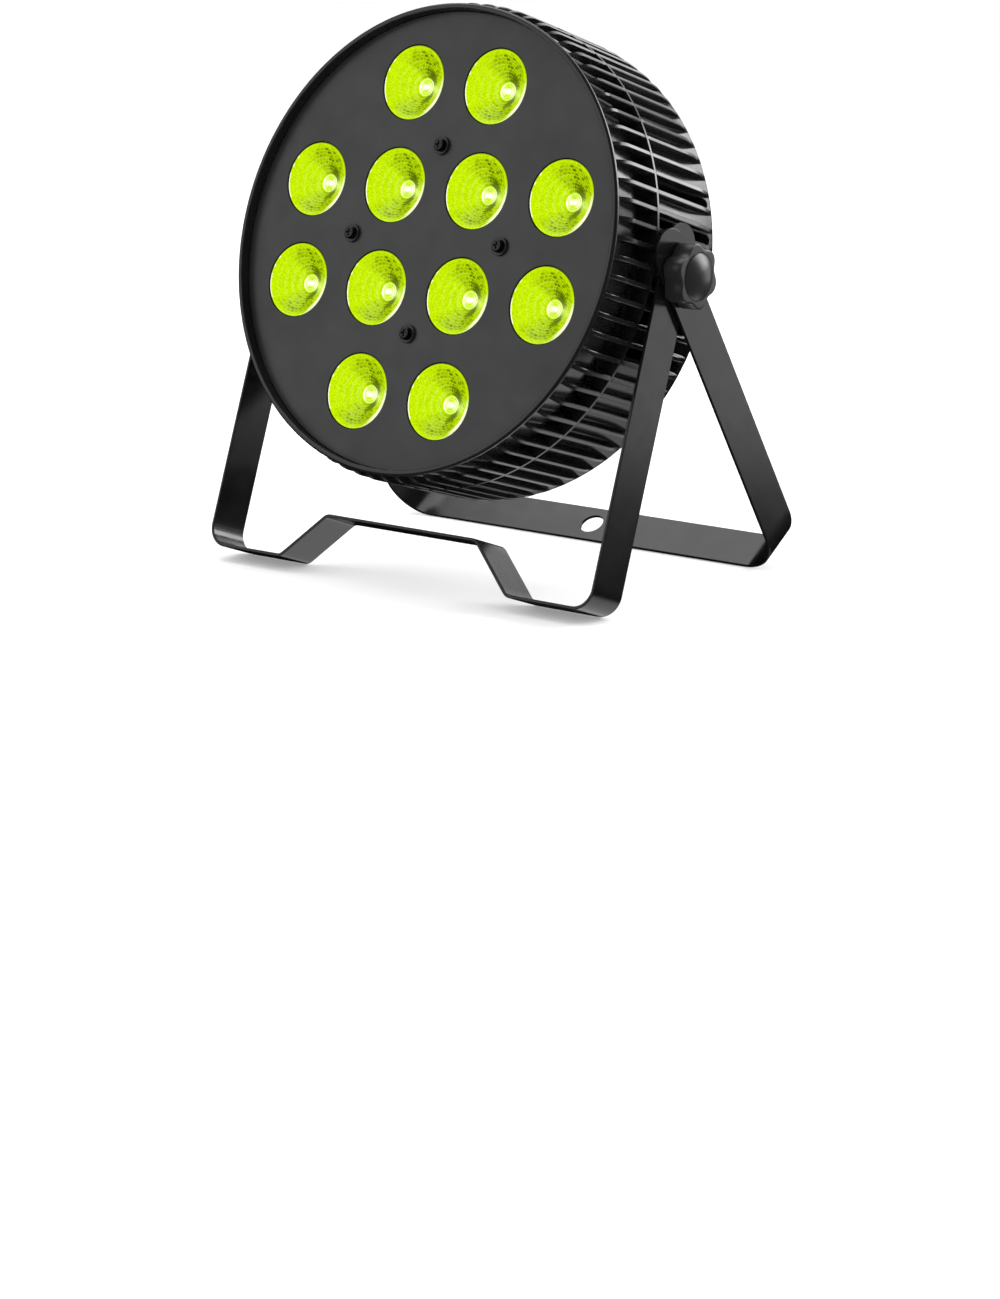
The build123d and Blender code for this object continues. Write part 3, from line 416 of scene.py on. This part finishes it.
def build_housing():
    front = fin_shell("front_housing_shell", front_rows(), HEAD)
    add_piece("front_housing_shell", front, "head", "housing_paint", housing_paint,
              "front_housing")
    rear = fin_shell("rear_housing_shell", rear_rows(), HEAD)
    add_piece("rear_housing_shell", rear, "head", "housing_paint", housing_paint, "rear_housing")
    for side, name in ((1, "right"), (-1, "left")):
        turned = frame_matrix(PIVOT, Vector((0, side, 0)), Vector((0, 0, 1)))
        profile = [(INSERT_R, BOSS_START), (BOSS_R, BOSS_START), (BOSS_R, BOSS_FACE - 0.4),
                   (BOSS_R - 0.4, BOSS_FACE), (INSERT_R, BOSS_FACE)]
        boss = revolve(f"pivot_boss_{name}", profile, turned, 64)
        add_piece(f"pivot_boss_{name}", boss, "head", "housing_paint", housing_paint)


# ---- Flat sheets cut with holes --------------------------------------------------------------
def round_hole(x, y, radius, count):
    return [(x + radius * cos(2 * pi * k / count), y + radius * sin(2 * pi * k / count))
            for k in range(count)]


def ring_of(radius, count):
    return round_hole(0, 0, radius, count)


def square_hole(x, y, width, height):
    points, corner = [], 0.3
    for sx, sy, start in ((1, 1, 0), (-1, 1, 90), (-1, -1, 180), (1, -1, 270)):
        centre = (x + sx * (width / 2 - corner), y + sy * (height / 2 - corner))
        points += arc(centre, corner, start, start + 90, 4)
    return points


def cut_sheet(name, outline, holes, back, thickness, edge, matrix):
    """A flat sheet with rounded edges: outline and holes drawn in x and y, from back upward."""
    curve = bpy.data.curves.new(name, "CURVE")
    curve.dimensions = "2D"
    curve.fill_mode = "BOTH"
    curve.extrude = thickness / 2 - edge
    curve.bevel_depth = edge
    curve.bevel_resolution = 2
    curve.offset = -edge
    for points in [outline] + holes:
        spline = curve.splines.new("POLY")
        spline.points.add(len(points) - 1)
        for place, (x, y) in zip(spline.points, points):
            place.co = (x, y, 0, 1)
        spline.use_cyclic_u = True
    holder = bpy.data.objects.new(name, curve)
    mesh = bpy.data.meshes.new_from_object(holder)
    bpy.data.objects.remove(holder)
    mesh.name = name
    mesh.transform(matrix @ Matrix.Translation((0, 0, back + thickness / 2)))
    finish_mesh(mesh, 8)
    return mesh


LENS_PITCH = 48.6
LENS_R = 17.6
LENS_GAP = 0.4
PLATE_R, PLATE_T = 107.2, 1.5
FACE_SCREW_PCD_R, BUSH_HOLE_R = 44.0, 2.95
HALVES = (-1.5, -0.5, 0.5, 1.5)
LENS_SPOTS = [(i * LENS_PITCH, j * LENS_PITCH)
              for j in reversed(HALVES) for i in HALVES if abs(i * j) < 2]


def build_face_plate():
    holes = [round_hole(x, y, LENS_R + LENS_GAP, 72) for x, y in LENS_SPOTS]
    holes += [round_hole(x, y, BUSH_HOLE_R, 32) for x, y in ring_of(FACE_SCREW_PCD_R, 4)]
    plate = cut_sheet("face_plate_sheet", round_hole(0, 0, PLATE_R, 360), holes, -PLATE_T,
                      PLATE_T, 0.25, HEAD)
    add_piece("face_plate_sheet", plate, "head", "face_paint", face_paint, "face_plate")


# ---- Lenses ----------------------------------------------------------------------------------
CELL_ROWS, CELLS_ROUND, SUB_ROWS, SUB_COLUMNS = 9, 34, 3, 6
BOWL_R, BOWL_THROAT_R, BOWL_DEPTH = 17.0, 4.4, 9.5
LENS_FACE = -0.3
CELL_LIFT = 0.35
# LIT is the lens's own glow; PAINTED_SHADE is painted shade and PAINTED_HIGHLIGHT is painted
# highlight laid into that glow.
LIT, PAINTED_SHADE, PAINTED_HIGHLIGHT = (0.62, 0.93, 0.0), (0.06, 0.10, 0.0), (1.2, 1.2, 0.9)


def mix(a, b, share):
    share = min(max(share, 0.0), 1.0)
    return tuple(p + (q - p) * share for p, q in zip(a, b))


def hump(angle, centre, width):
    """1 at the centre angle, falling smoothly to 0 at the width, all in degrees."""
    away = abs((angle - centre + 180) % 360 - 180)
    return max(cos(pi / 2 * min(away / width, 1.0)), 0.0)


def lens_glow_material():
    """Lit acrylic: the glow comes from the mesh's colours, which carry painted highlight and
    painted shade, cut by fine moulding lines.
    """
    material, nodes, links, shader = new_material("lens_glow", (0.02, 0.03, 0.0), 0.12, 0.0, 0.12)
    colours = nodes.new("ShaderNodeVertexColor")
    colours.layer_name = "glow"
    ripple = noise(nodes, links, 1500.0, 2.0)
    dim = nodes.new("ShaderNodeMix")
    dim.data_type = "RGBA"
    dim.blend_type = "MULTIPLY"
    dim.inputs["Factor"].default_value = 1.0
    shade = nodes.new("ShaderNodeValToRGB")
    shade.color_ramp.elements[0].position = 0.30
    shade.color_ramp.elements[1].position = 0.60
    shade.color_ramp.elements[0].color = (0.72, 0.72, 0.72, 1)
    shade.color_ramp.elements[1].color = (1.05, 1.05, 1.05, 1)
    links.new(ripple.outputs["Fac"], shade.inputs["Fac"])
    links.new(colours.outputs["Color"], dim.inputs["A"])
    links.new(shade.outputs["Color"], dim.inputs["B"])
    links.new(dim.outputs["Result"], shader.inputs["Emission Color"])
    shader.inputs["Emission Strength"].default_value = 1.0
    return material


lens_glow = lens_glow_material()


def bowl_point(share):
    """Radius and depth down the lens's inner bowl, 0 at the rim and 1 at the throat."""
    radius = BOWL_R + (BOWL_THROAT_R - BOWL_R) * share
    return radius, LENS_FACE - 0.4 - BOWL_DEPTH * share ** 1.12


def speckle(row, column):
    """A repeatable scatter between 0 and 1, one value for each cell."""
    value = sin(row * 12.9898 + column * 78.233) * 43758.5453
    return value - int(value // 1)


def sector_at(angle):
    """How far the pebbled cells and their painted shade show round the lens: strongest at the upper
    and lower side.
    """
    return max(hump(angle, 55, 85), 0.85 * hump(angle, -72, 75))


def bowl_glow_with_painted_light(angle, share, centre_of_cell, scatter):
    """Even glow on one side, painted shade as darker cells on the other, and painted highlight in
    bright arcs next to the core.
    """
    # painted shade: the cells darken in the upper and lower sectors
    painted_shade_share = sector_at(angle) * min(share * 5, 1.0)
    # painted shade: dark patches just outside the core at the upper and lower right
    painted_core_shade = max(hump(angle, 42, 48), hump(angle, -48, 44)) * hump(share * 90, 76, 26)
    cell = (0.3 + 0.7 * centre_of_cell) * (0.4 + 0.8 * scatter)
    colour = mix(LIT, PAINTED_SHADE, painted_shade_share * (0.12 + 0.86 * cell) + 0.05 * cell + 0.75 * painted_core_shade)
    # painted highlight and painted shade: faint light and dark arcs on the left of the bowl,
    # growing toward the core
    rings = sin(share * 30 + 1.0) * hump(angle, 180, 120) * share
    colour = mix(colour, PAINTED_HIGHLIGHT, 0.07 * rings)
    colour = mix(colour, PAINTED_SHADE, -0.05 * rings)
    # painted highlight: a white crescent along the lower right of the rim
    painted_crescent = hump(angle, -26, 36) * hump(share * 90, 7, 8)
    return mix(colour, PAINTED_HIGHLIGHT, painted_crescent * 1.3)


def lens_mesh():
    """Rim ring, a bowl covered in raised cells laid like bricks in rings, and a stepped core."""
    vertices, faces, colours = [], [], []
    across = SUB_COLUMNS * CELLS_ROUND

    def ring(radius, height, shape):
        for k in range(across):
            angle = 360 * k / across
            lift, colour = shape(k, angle)
            turn = radians(angle)
            vertices.append((radius * cos(turn), radius * sin(turn), height + lift))
            colours.append(colour)
        here = len(vertices) - across
        for k in range(across if here else 0):
            a, n = here - across, (k + 1) % across
            faces.append((a + k, a + n, here + n, here + k))

    def flat(base):
        return lambda k, angle: (0.0, base)

    # painted highlight: white sparks on the left of the rim and a white glint on its lower right;
    # painted shade darkens the upper right of the rim
    def rim(k, angle):
        painted_spark = 1.0 if hump(angle, 176, 46) > 0.25 and speckle(7, k // 3) > 0.45 else 0.0
        painted_glint = hump(angle, -30, 46)
        return 0.0, mix(mix(LIT, PAINTED_HIGHLIGHT, max(painted_spark, painted_glint)), PAINTED_SHADE, 0.6 * hump(angle, 60, 60))

    # painted shade: the lens's side wall is coloured near-black navy for the shaded gap round the
    # lens
    edge = (0.004, 0.004, 0.02)
    ring(LENS_R, -2.6, flat(edge))
    ring(LENS_R, LENS_FACE - 0.25, flat(edge))
    ring(LENS_R - 0.25, LENS_FACE, rim)
    ring(BOWL_R + 0.1, LENS_FACE, rim)
    lifts = (0.0, 0.8, 1.0, 1.0, 1.0, 0.8)
    for i in range(CELL_ROWS * SUB_ROWS + 1):
        share = i / (CELL_ROWS * SUB_ROWS)
        radius, height = bowl_point(share)
        row, sub = divmod(i, SUB_ROWS)
        offset = (row % 2) * (SUB_COLUMNS // 2)

        def cell(k, angle, row=row, sub=sub, share=share, offset=offset):
            raised = lifts[(k + offset) % SUB_COLUMNS] if sub else 0.0
            fade = min(share * 8, 1.0) * min((1 - share) * 8, 1.0)
            scatter = speckle(row, (k + offset) // SUB_COLUMNS % CELLS_ROUND)
            lift = CELL_LIFT * fade * raised * (0.04 + 0.96 * sector_at(angle))
            return lift, bowl_glow_with_painted_light(angle, share, raised, scatter)
        ring(radius, height, cell)
    throat = bowl_point(1.0)[1]
    core = ((4.2, 0.4, 0.1, 0.5), (3.9, 0.4, 0.2, 1.0), (3.5, -0.5, 0.0, 0.1),
            (3.0, -0.5, 0.0, 0.0), (2.75, 0.2, 0.2, 1.0), (2.35, 0.3, 0.0, 0.1),
            (1.9, 0.4, 0.0, 0.7), (1.5, 0.5, 0.2, 1.0), (0.9, 0.8, 0.5, 1.0),
            (0.05, 0.9, 1.0, 1.0))
    for radius, rise, heat, side_heat in core:
        def glow(k, angle, heat=heat, side_heat=side_heat):
            sides = max(hump(angle, 0, 60), hump(angle, 180, 60))
            return 0.0, mix(LIT, (1.6, 1.6, 1.3), heat + (side_heat - heat) * sides)
        ring(radius, throat + rise, glow)
    return vertices, faces, colours


def build_lenses():
    vertices, faces, colours = lens_mesh()
    for number, (x, y) in enumerate(LENS_SPOTS, start=1):
        name = f"lens_{number:02d}"
        mesh = bpy.data.meshes.new(name + "_bowl")
        matrix = HEAD @ Matrix.Translation((x, y, 0))
        mesh.from_pydata([matrix @ Vector(v) for v in vertices], [], faces)
        glow = mesh.color_attributes.new("glow", "FLOAT_COLOR", "POINT")
        glow.data.foreach_set("color", [c for colour in colours for c in (*colour, 1.0)])
        mesh.shade_smooth()
        mesh.set_sharp_from_angle(angle=radians(60))
        add_piece(name + "_bowl", mesh, "head", "lens", lens_glow, name)


# ---- Brackets --------------------------------------------------------------------------------
STRAP_W, STRAP_T, STRAP_TOP = 22.0, 1.5, 23.5
STRAP_EDGE = 0.3
FRONT_OUT, FRONT_LEAN, FRONT_CORNER_R = 115.5, 19.6, 10.5
RAISE, RAISE_HALF_TOP, RAISE_HALF_BASE, RAISE_BEND_R = 22.4, 45.0, 68.5, 5.0
REAR_OUT, REAR_LEAN, REAR_CORNER_R = 118.0, -33.0, 20.0
CLAMP_HOLE_R = 6.0
# A strap's cross-section has this many corners; these face each other across the clamp hole.
SECTION, HOLE_UPPER, HOLE_LOWER = 16, (3, 4), (12, 11)


def rounded_path(corners, radii, gap=3.0):
    """Points and directions along straight runs joined by arcs, with steps of about gap."""
    path = []
    at = Vector(corners[0])
    for i in range(1, len(corners)):
        here = Vector(corners[i])
        along = (here - Vector(corners[i - 1])).normalized()
        last = i == len(corners) - 1
        if last:
            stop, turn = here, 0.0
        else:
            after = (Vector(corners[i + 1]) - here).normalized()
            turn = along.angle_signed(after)
            setback = radii[i - 1] * abs(sin(turn / 2) / cos(turn / 2))
            stop = here - along * setback
        length = (stop - at).length
        count = max(int(length / gap), 1)
        for k in range(count + (1 if last else 0)):
            path.append((at + along * length * k / count, along))
        if last:
            break
        side = Vector((-along.y, along.x)) * (-1 if turn > 0 else 1)
        centre = stop + side * radii[i - 1]
        pieces = max(int(abs(turn) / radians(7.5)), 3)
        for k in range(pieces):
            spin = Matrix.Rotation(-turn * k / pieces, 2)
            path.append((centre + spin @ (stop - centre), spin @ along))
        at = here + after * setback
    return path


def strap_mesh(name, path, lean, hole_r=0.0):
    """A bent strap with half-round ends, its path in the plane of the bracket, with a round
    hole half way along where a radius is given."""
    places = [0.0]
    for (a, _), (b, _) in zip(path, path[1:]):
        places.append(places[-1] + (b - a).length)
    total = places[-1]
    middle = total / 2
    end = STRAP_W / 2 + 0.5
    extra = [STRAP_W / 2 * (1 - cos(radians(a))) for a in range(0, 91, 10)]
    stations = sorted(set([round(p, 3) for p in places if end < p < total - end]
                          + [round(e, 3) for e in extra] + [round(total - e, 3) for e in extra]))
    if hole_r:
        around = [middle + hole_r * cos(radians(a)) for a in range(0, 181, 12)]
        stations = sorted([s for s in stations if abs(s - middle) > hole_r + 0.5] + around)

    def locate(place):
        for i in range(len(places) - 1):
            if place <= places[i + 1] + 1e-6:
                share = (place - places[i]) / (places[i + 1] - places[i])
                (point, along), (next_point, next_along) = path[i], path[i + 1]
                return point.lerp(next_point, share), along.lerp(next_along, share)
        return path[-1]

    vertices, faces, holed = [], [], []
    for place in stations:
        point, along = locate(place)
        normal = Vector((-along.y, along.x)).normalized()
        near_end = min(place, total - place)
        half = STRAP_W / 2
        if near_end < half:
            half = sqrt(max(half ** 2 - (half - near_end) ** 2, 0.09))
        gap = 2.0
        away = abs(place - middle)
        in_hole = hole_r > 0 and away <= hole_r + 1e-6
        if in_hole:
            gap = max(sqrt(max(hole_r ** 2 - away ** 2, 0.0)), 0.02)
        holed.append(in_hole)
        gap = min(gap, half * 0.6)
        edge = min(STRAP_EDGE, half * 0.3)
        t = STRAP_T / 2
        upper = [(-half, t - edge), (-half + edge * 0.3, t - edge * 0.3), (-half + edge, t),
                 (-gap, t), (gap, t), (half - edge, t), (half - edge * 0.3, t - edge * 0.3),
                 (half, t - edge)]
        for across, height in upper + [(a, -h) for a, h in upper[::-1]]:
            flat = point + normal * height
            vertices.append((flat.x, flat.y, across))
    for i in range(len(stations) - 1):
        for k in range(SECTION):
            if holed[i] and holed[i + 1] and k in (HOLE_UPPER[0], HOLE_LOWER[1]):
                continue
            a, b, n = i * SECTION, (i + 1) * SECTION, (k + 1) % SECTION
            faces.append((a + k, a + n, b + n, b + k))
    inside = [i for i in range(len(stations)) if holed[i]]
    for first, second in zip(inside, inside[1:]):
        for top, low in zip(HOLE_UPPER, HOLE_LOWER):
            a, b = first * SECTION, second * SECTION
            faces.append((a + top, b + top, b + low, a + low))
    faces.append(tuple(range(SECTION)))
    faces.append(tuple(range((len(stations) - 1) * SECTION, len(stations) * SECTION)))
    plane = frame_matrix(PIVOT, X_AXIS, Vector((0, sin(radians(lean)), cos(radians(lean)))))
    return mesh_from(name, vertices, faces, plane, 20)


def leg_reach(lean):
    """From the pivot down the leg to the bar's outer face, so that one bar edge meets z = 0."""
    return (PIVOT.z / MM - STRAP_W / 2 * sin(radians(abs(lean)))) / cos(radians(lean))


def build_brackets():
    x, y = FRONT_OUT - STRAP_T / 2, -leg_reach(FRONT_LEAN) + STRAP_T / 2
    raised = [(RAISE_HALF_BASE, y), (RAISE_HALF_TOP, y + RAISE)]
    corners = [(-x, STRAP_TOP), (-x, y)] + [(-a, b) for a, b in raised] + raised[::-1]
    corners += [(x, y), (x, STRAP_TOP)]
    bend = FRONT_CORNER_R - STRAP_T / 2
    route = rounded_path(corners, [bend] + [RAISE_BEND_R] * 4 + [bend])
    front = strap_mesh("front_bracket_strap", route, FRONT_LEAN)
    add_piece("front_bracket_strap", front, "front_bracket", "bracket_paint", bracket_paint,
              "front_bracket")

    x, y = REAR_OUT - STRAP_T / 2, -leg_reach(REAR_LEAN) + STRAP_T / 2
    bend = REAR_CORNER_R - STRAP_T / 2
    route = rounded_path([(-x, STRAP_TOP), (-x, y), (x, y), (x, STRAP_TOP)], [bend, bend])
    rear = strap_mesh("rear_bracket_strap", route, REAR_LEAN, CLAMP_HOLE_R)
    add_piece("rear_bracket_strap", rear, "rear_bracket", "bracket_paint", bracket_paint,
              "rear_bracket")


# ---- Star knobs ------------------------------------------------------------------------------
KNOB_TIP_R, KNOB_VALLEY_R, KNOB_LOBES, KNOB_PHASE = 15.0, 12.7, 6, -6.0
KNOB_INNER, KNOB_FACE, CAP_R, CAP_H = 118.5, 128.0, 10.7, 3.5


def lobe_radius(angle):
    """Round lobes with wider tips than valleys."""
    wave = cos(KNOB_LOBES * angle)
    mean, swing = (KNOB_TIP_R + KNOB_VALLEY_R) / 2, (KNOB_TIP_R - KNOB_VALLEY_R) / 2
    return mean + swing * (wave + 0.12 * (1 - wave ** 2))


def knob_mesh(name, side):
    """Rows go from the back face's bore over the rounded edges to the domed cap."""
    count, bore_r = 180, 5.0
    rows = [(None, KNOB_INNER), (-0.8, KNOB_INNER), (-0.25, KNOB_INNER + 0.25),
            (0.0, KNOB_INNER + 0.8)]
    rows += [(0.0, KNOB_FACE - 0.8), (-0.22, KNOB_FACE - 0.22), (-0.8, KNOB_FACE - 0.02),
             (-1.2, KNOB_FACE)]
    vertices, faces = [], []
    for inset, x in rows:
        for k in range(count):
            angle = 2 * pi * k / count
            radius = bore_r if inset is None else lobe_radius(angle) + inset
            vertices.append((radius * cos(angle), radius * sin(angle), x))
    cap = [(CAP_R + 0.25, KNOB_FACE), (CAP_R + 0.1, KNOB_FACE - 0.35), (CAP_R, KNOB_FACE - 0.3)]
    dome_r = (CAP_R ** 2 + CAP_H ** 2) / (2 * CAP_H)
    for share in steps(0.985, 0.0, 14):
        radius = max(CAP_R * share, 0.05)
        cap.append((radius, KNOB_FACE + CAP_H - dome_r + sqrt(dome_r ** 2 - radius ** 2)))
    for radius, x in cap:
        for k in range(count):
            angle = 2 * pi * k / count
            vertices.append((radius * cos(angle), radius * sin(angle), x))
    total = len(rows) + len(cap)
    for i in range(total - 1):
        for k in range(count):
            a, b, n = i * count, (i + 1) * count, (k + 1) % count
            faces.append((a + k, a + n, b + n, b + k))
    faces.append(tuple(range(count)))
    faces.append(tuple(range((total - 1) * count, total * count)))
    phase = radians(KNOB_PHASE)
    back = (-FORWARD * cos(phase) + UP * sin(phase)).normalized()
    across = Vector((side, 0, 0)).cross(back)
    return mesh_from(name, vertices, faces, frame_matrix(PIVOT, back, across), 42)


def build_knobs():
    for side, hand in ((1, "right"), (-1, "left")):
        knob = f"knob_{hand}"
        add_piece(knob + "_star", knob_mesh(knob + "_star", side), knob, "knob_plastic",
                  knob_plastic, knob)


# ---- Rear panel and small parts --------------------------------------------------------------
REAR = frame_matrix(FACE + FORWARD * REAR_FACE * MM, X_AXIS, -UP)
GRILLE = ((6.0, 6), (12.0, 12), (18.0, 18))
GRILLE_HOLE_R = 1.8
DATA_X, DATA_UP, DATA_HOLE_R = 47.0, -2.0, 12.0
DATA_SCREWS, DATA_SCREW_R = ((-9.5, 12.0), (9.5, -12.0)), 1.35
POWER_X, POWER_UP, POWER_W, POWER_H = 20.0, -43.0, 27.2, 19.7
BUTTON_XS, BUTTON_UP, BUTTON_HOLE_R = (-18.0, -6.0, 6.0, 18.0), 34.0, 3.07
DISPLAY_UP, WINDOW_W, WINDOW_H = 50.0, 34.0, 12.0
PANEL_SCREW_PCD_R, PANEL_SCREWS, PANEL_SCREW_R = 70.0, 6, 1.3
EYE_SCREW_X, EYE_SCREW_UP, EYE_SCREW_R = 6.0, -62.0, 1.6


def build_rear_panel():
    holes = [round_hole(x, y, GRILLE_HOLE_R, 24)
             for radius, count in GRILLE for x, y in ring_of(radius, count)]
    holes += [round_hole(x, y, PANEL_SCREW_R, 16)
              for x, y in ring_of(PANEL_SCREW_PCD_R, PANEL_SCREWS)]
    holes += [round_hole(x, -BUTTON_UP, BUTTON_HOLE_R, 32) for x in BUTTON_XS]
    holes.append(square_hole(0, -DISPLAY_UP, WINDOW_W, WINDOW_H))
    for side in (1, -1):
        holes.append(round_hole(side * DATA_X, -DATA_UP, DATA_HOLE_R, 48))
        holes += [round_hole(side * DATA_X + x, -DATA_UP + y, DATA_SCREW_R, 16)
                  for x, y in DATA_SCREWS]
        holes.append(square_hole(side * POWER_X, -POWER_UP, POWER_W, POWER_H))
        holes.append(round_hole(side * EYE_SCREW_X, -EYE_SCREW_UP, EYE_SCREW_R, 16))
    panel = cut_sheet("rear_panel_sheet", round_hole(0, 0, PANEL_R, 240), holes, -PANEL_T, PANEL_T,
                      0.2, REAR)
    add_piece("rear_panel_sheet", panel, "head", "panel_paint", panel_paint, "rear_panel")


# CAD nodes shown with rounded edges: node, slot, material and width of the rounding.
SOFTENED = (
    ("face_bushings", "bushing", black_plastic, 0.15),
    ("face_screws", "black_screw", black_steel, 0.12),
    ("panel_screws", "black_screw", black_steel, 0.12),
    ("socket_screws", "black_screw", black_steel, 0.12),
    ("housing_screws", "black_screw", black_steel, 0.12),
    ("dmx_in_socket", "socket_plastic", black_plastic, 0.3),
    ("dmx_out_socket", "socket_plastic", black_plastic, 0.3),
    ("dmx_out_latch", "latch_metal", bare_steel, 0.25),
    ("power_inlet", "socket_plastic", black_plastic, 0.3),
    ("power_outlet", "socket_plastic", black_plastic, 0.3),
    ("safety_eye", "black_screw", black_steel, 0.3),
    ("display_window", "window_plastic", gloss_black, 0.15),
    ("menu_button_1", "button_rubber", button_rubber, 0.4),
    ("menu_button_2", "button_rubber", button_rubber, 0.4),
    ("menu_button_3", "button_rubber", button_rubber, 0.4),
    ("menu_button_4", "button_rubber", button_rubber, 0.4),
    ("knob_washer_right", "washer_steel", bare_steel, 0.08),
    ("knob_washer_left", "washer_steel", bare_steel, 0.08),
)

# CAD nodes shown as they are.
CARRIED = {
    "lens_tray": black_plastic, "led_board": led_white, "led_emitters": led_white,
    "heat_sink": bare_aluminium, "fan_frame": black_plastic, "fan_rotor": black_plastic,
    "control_board": circuit_board, "power_supply_board": circuit_board,
    "display_module": black_plastic, "dmx_in_pins": bare_steel, "power_inlet_blades": bare_steel,
    "pivot_inserts": brass, "pivot_washers": black_plastic, "strap_washers": black_plastic,
    "knob_stud_right": bare_steel, "knob_stud_left": bare_steel,
}


def dress_cad_nodes():
    for node, material in CARRIED.items():
        mesh = frame["nodes"][node].data
        mesh.materials.clear()
        mesh.materials.append(material)


# ---- Floor, light and camera -----------------------------------------------------------------
AIM = Vector((0.0, 0.0, 0.13))


def floor_material():
    material, nodes, links, shader = new_material("studio_floor", (0.8, 0.8, 0.8), 0.8, 0.0, 0.1)
    mottle = noise(nodes, links, 3.0)
    tint(nodes, links, shader, mottle.outputs["Fac"], (0.79, 0.79, 0.79), (0.81, 0.81, 0.81))
    shader.inputs["Emission Color"].default_value = (1, 1, 1, 1)
    shader.inputs["Emission Strength"].default_value = 0.25
    return material


def build_floor():
    mesh = bpy.data.meshes.new("floor")
    half = 6.0
    mesh.from_pydata([(-half, -half, 0), (half, -half, 0), (half, half, 0), (-half, half, 0)], [],
                     [(0, 1, 2, 3)])
    floor = bpy.data.objects.new("floor", mesh)
    bpy.context.scene.collection.objects.link(floor)
    mesh.materials.append(floor_material())
    floor.visible_glossy = False
    floor.visible_shadow = False


def build_world():
    """A white surround that lights the object evenly but isn't mirrored in its gloss."""
    world = bpy.data.worlds.new("studio")
    bpy.context.scene.world = world
    world.use_nodes = True
    world.node_tree.nodes["Background"].inputs["Color"].default_value = (1, 1, 1, 1)
    world.cycles_visibility.glossy = False


def soft_light(name, place, size, power):
    """A rectangle of light turned toward the lamp; places and sizes are in metres."""
    data = bpy.data.lights.new(name, "AREA")
    data.shape = "RECTANGLE"
    data.size, data.size_y = size
    data.energy = power
    light = bpy.data.objects.new(name, data)
    light.location = place
    light.rotation_euler = (AIM - Vector(place)).to_track_quat("-Z", "Y").to_euler()
    light.visible_camera = False
    bpy.context.scene.collection.objects.link(light)


def build_camera():
    azimuth, elevation = radians(38.667), radians(10.334)
    data = bpy.data.cameras.new("camera")
    data.lens, data.sensor_width, data.sensor_fit = 85.88, 36.0, "AUTO"
    data.shift_y = -0.1536
    camera = bpy.data.objects.new("camera", data)
    camera.location = PIVOT + Vector((0.909685, -1.117357, 0.170388))
    looking = Vector((-sin(azimuth) * cos(elevation), cos(azimuth) * cos(elevation),
                      -sin(elevation)))
    camera.rotation_euler = looking.to_track_quat("-Z", "Y").to_euler()
    bpy.context.scene.collection.objects.link(camera)
    bpy.context.scene.camera = camera


build_camera()
build_housing()
build_face_plate()
build_lenses()
build_brackets()
build_knobs()
build_rear_panel()
for node, slot_name, look, width in SOFTENED:
    softened(node, slot_name, look, width)
dress_cad_nodes()

build_floor()
build_world()
soft_light("back_high", (0.85, 1.5, 0.95), (1.3, 1.2), 32.0)
soft_light("back_left", (-0.55, 1.5, 0.95), (1.2, 1.2), 6.0)
soft_light("back_low", (0.74, 1.4, 0.02), (1.04, 0.5), 2.1)
soft_light("front_left", (-1.2, -1.3, 0.8), (1.8, 1.6), 9.0)
soft_light("overhead", (-0.6, 0.1, 1.5), (1.2, 1.2), 10.0)
soft_light("floor_bounce", (0.1, 0.6, -1.0), (1.4, 1.2), 6.0)
bpy.context.scene.view_settings.view_transform = "Standard"
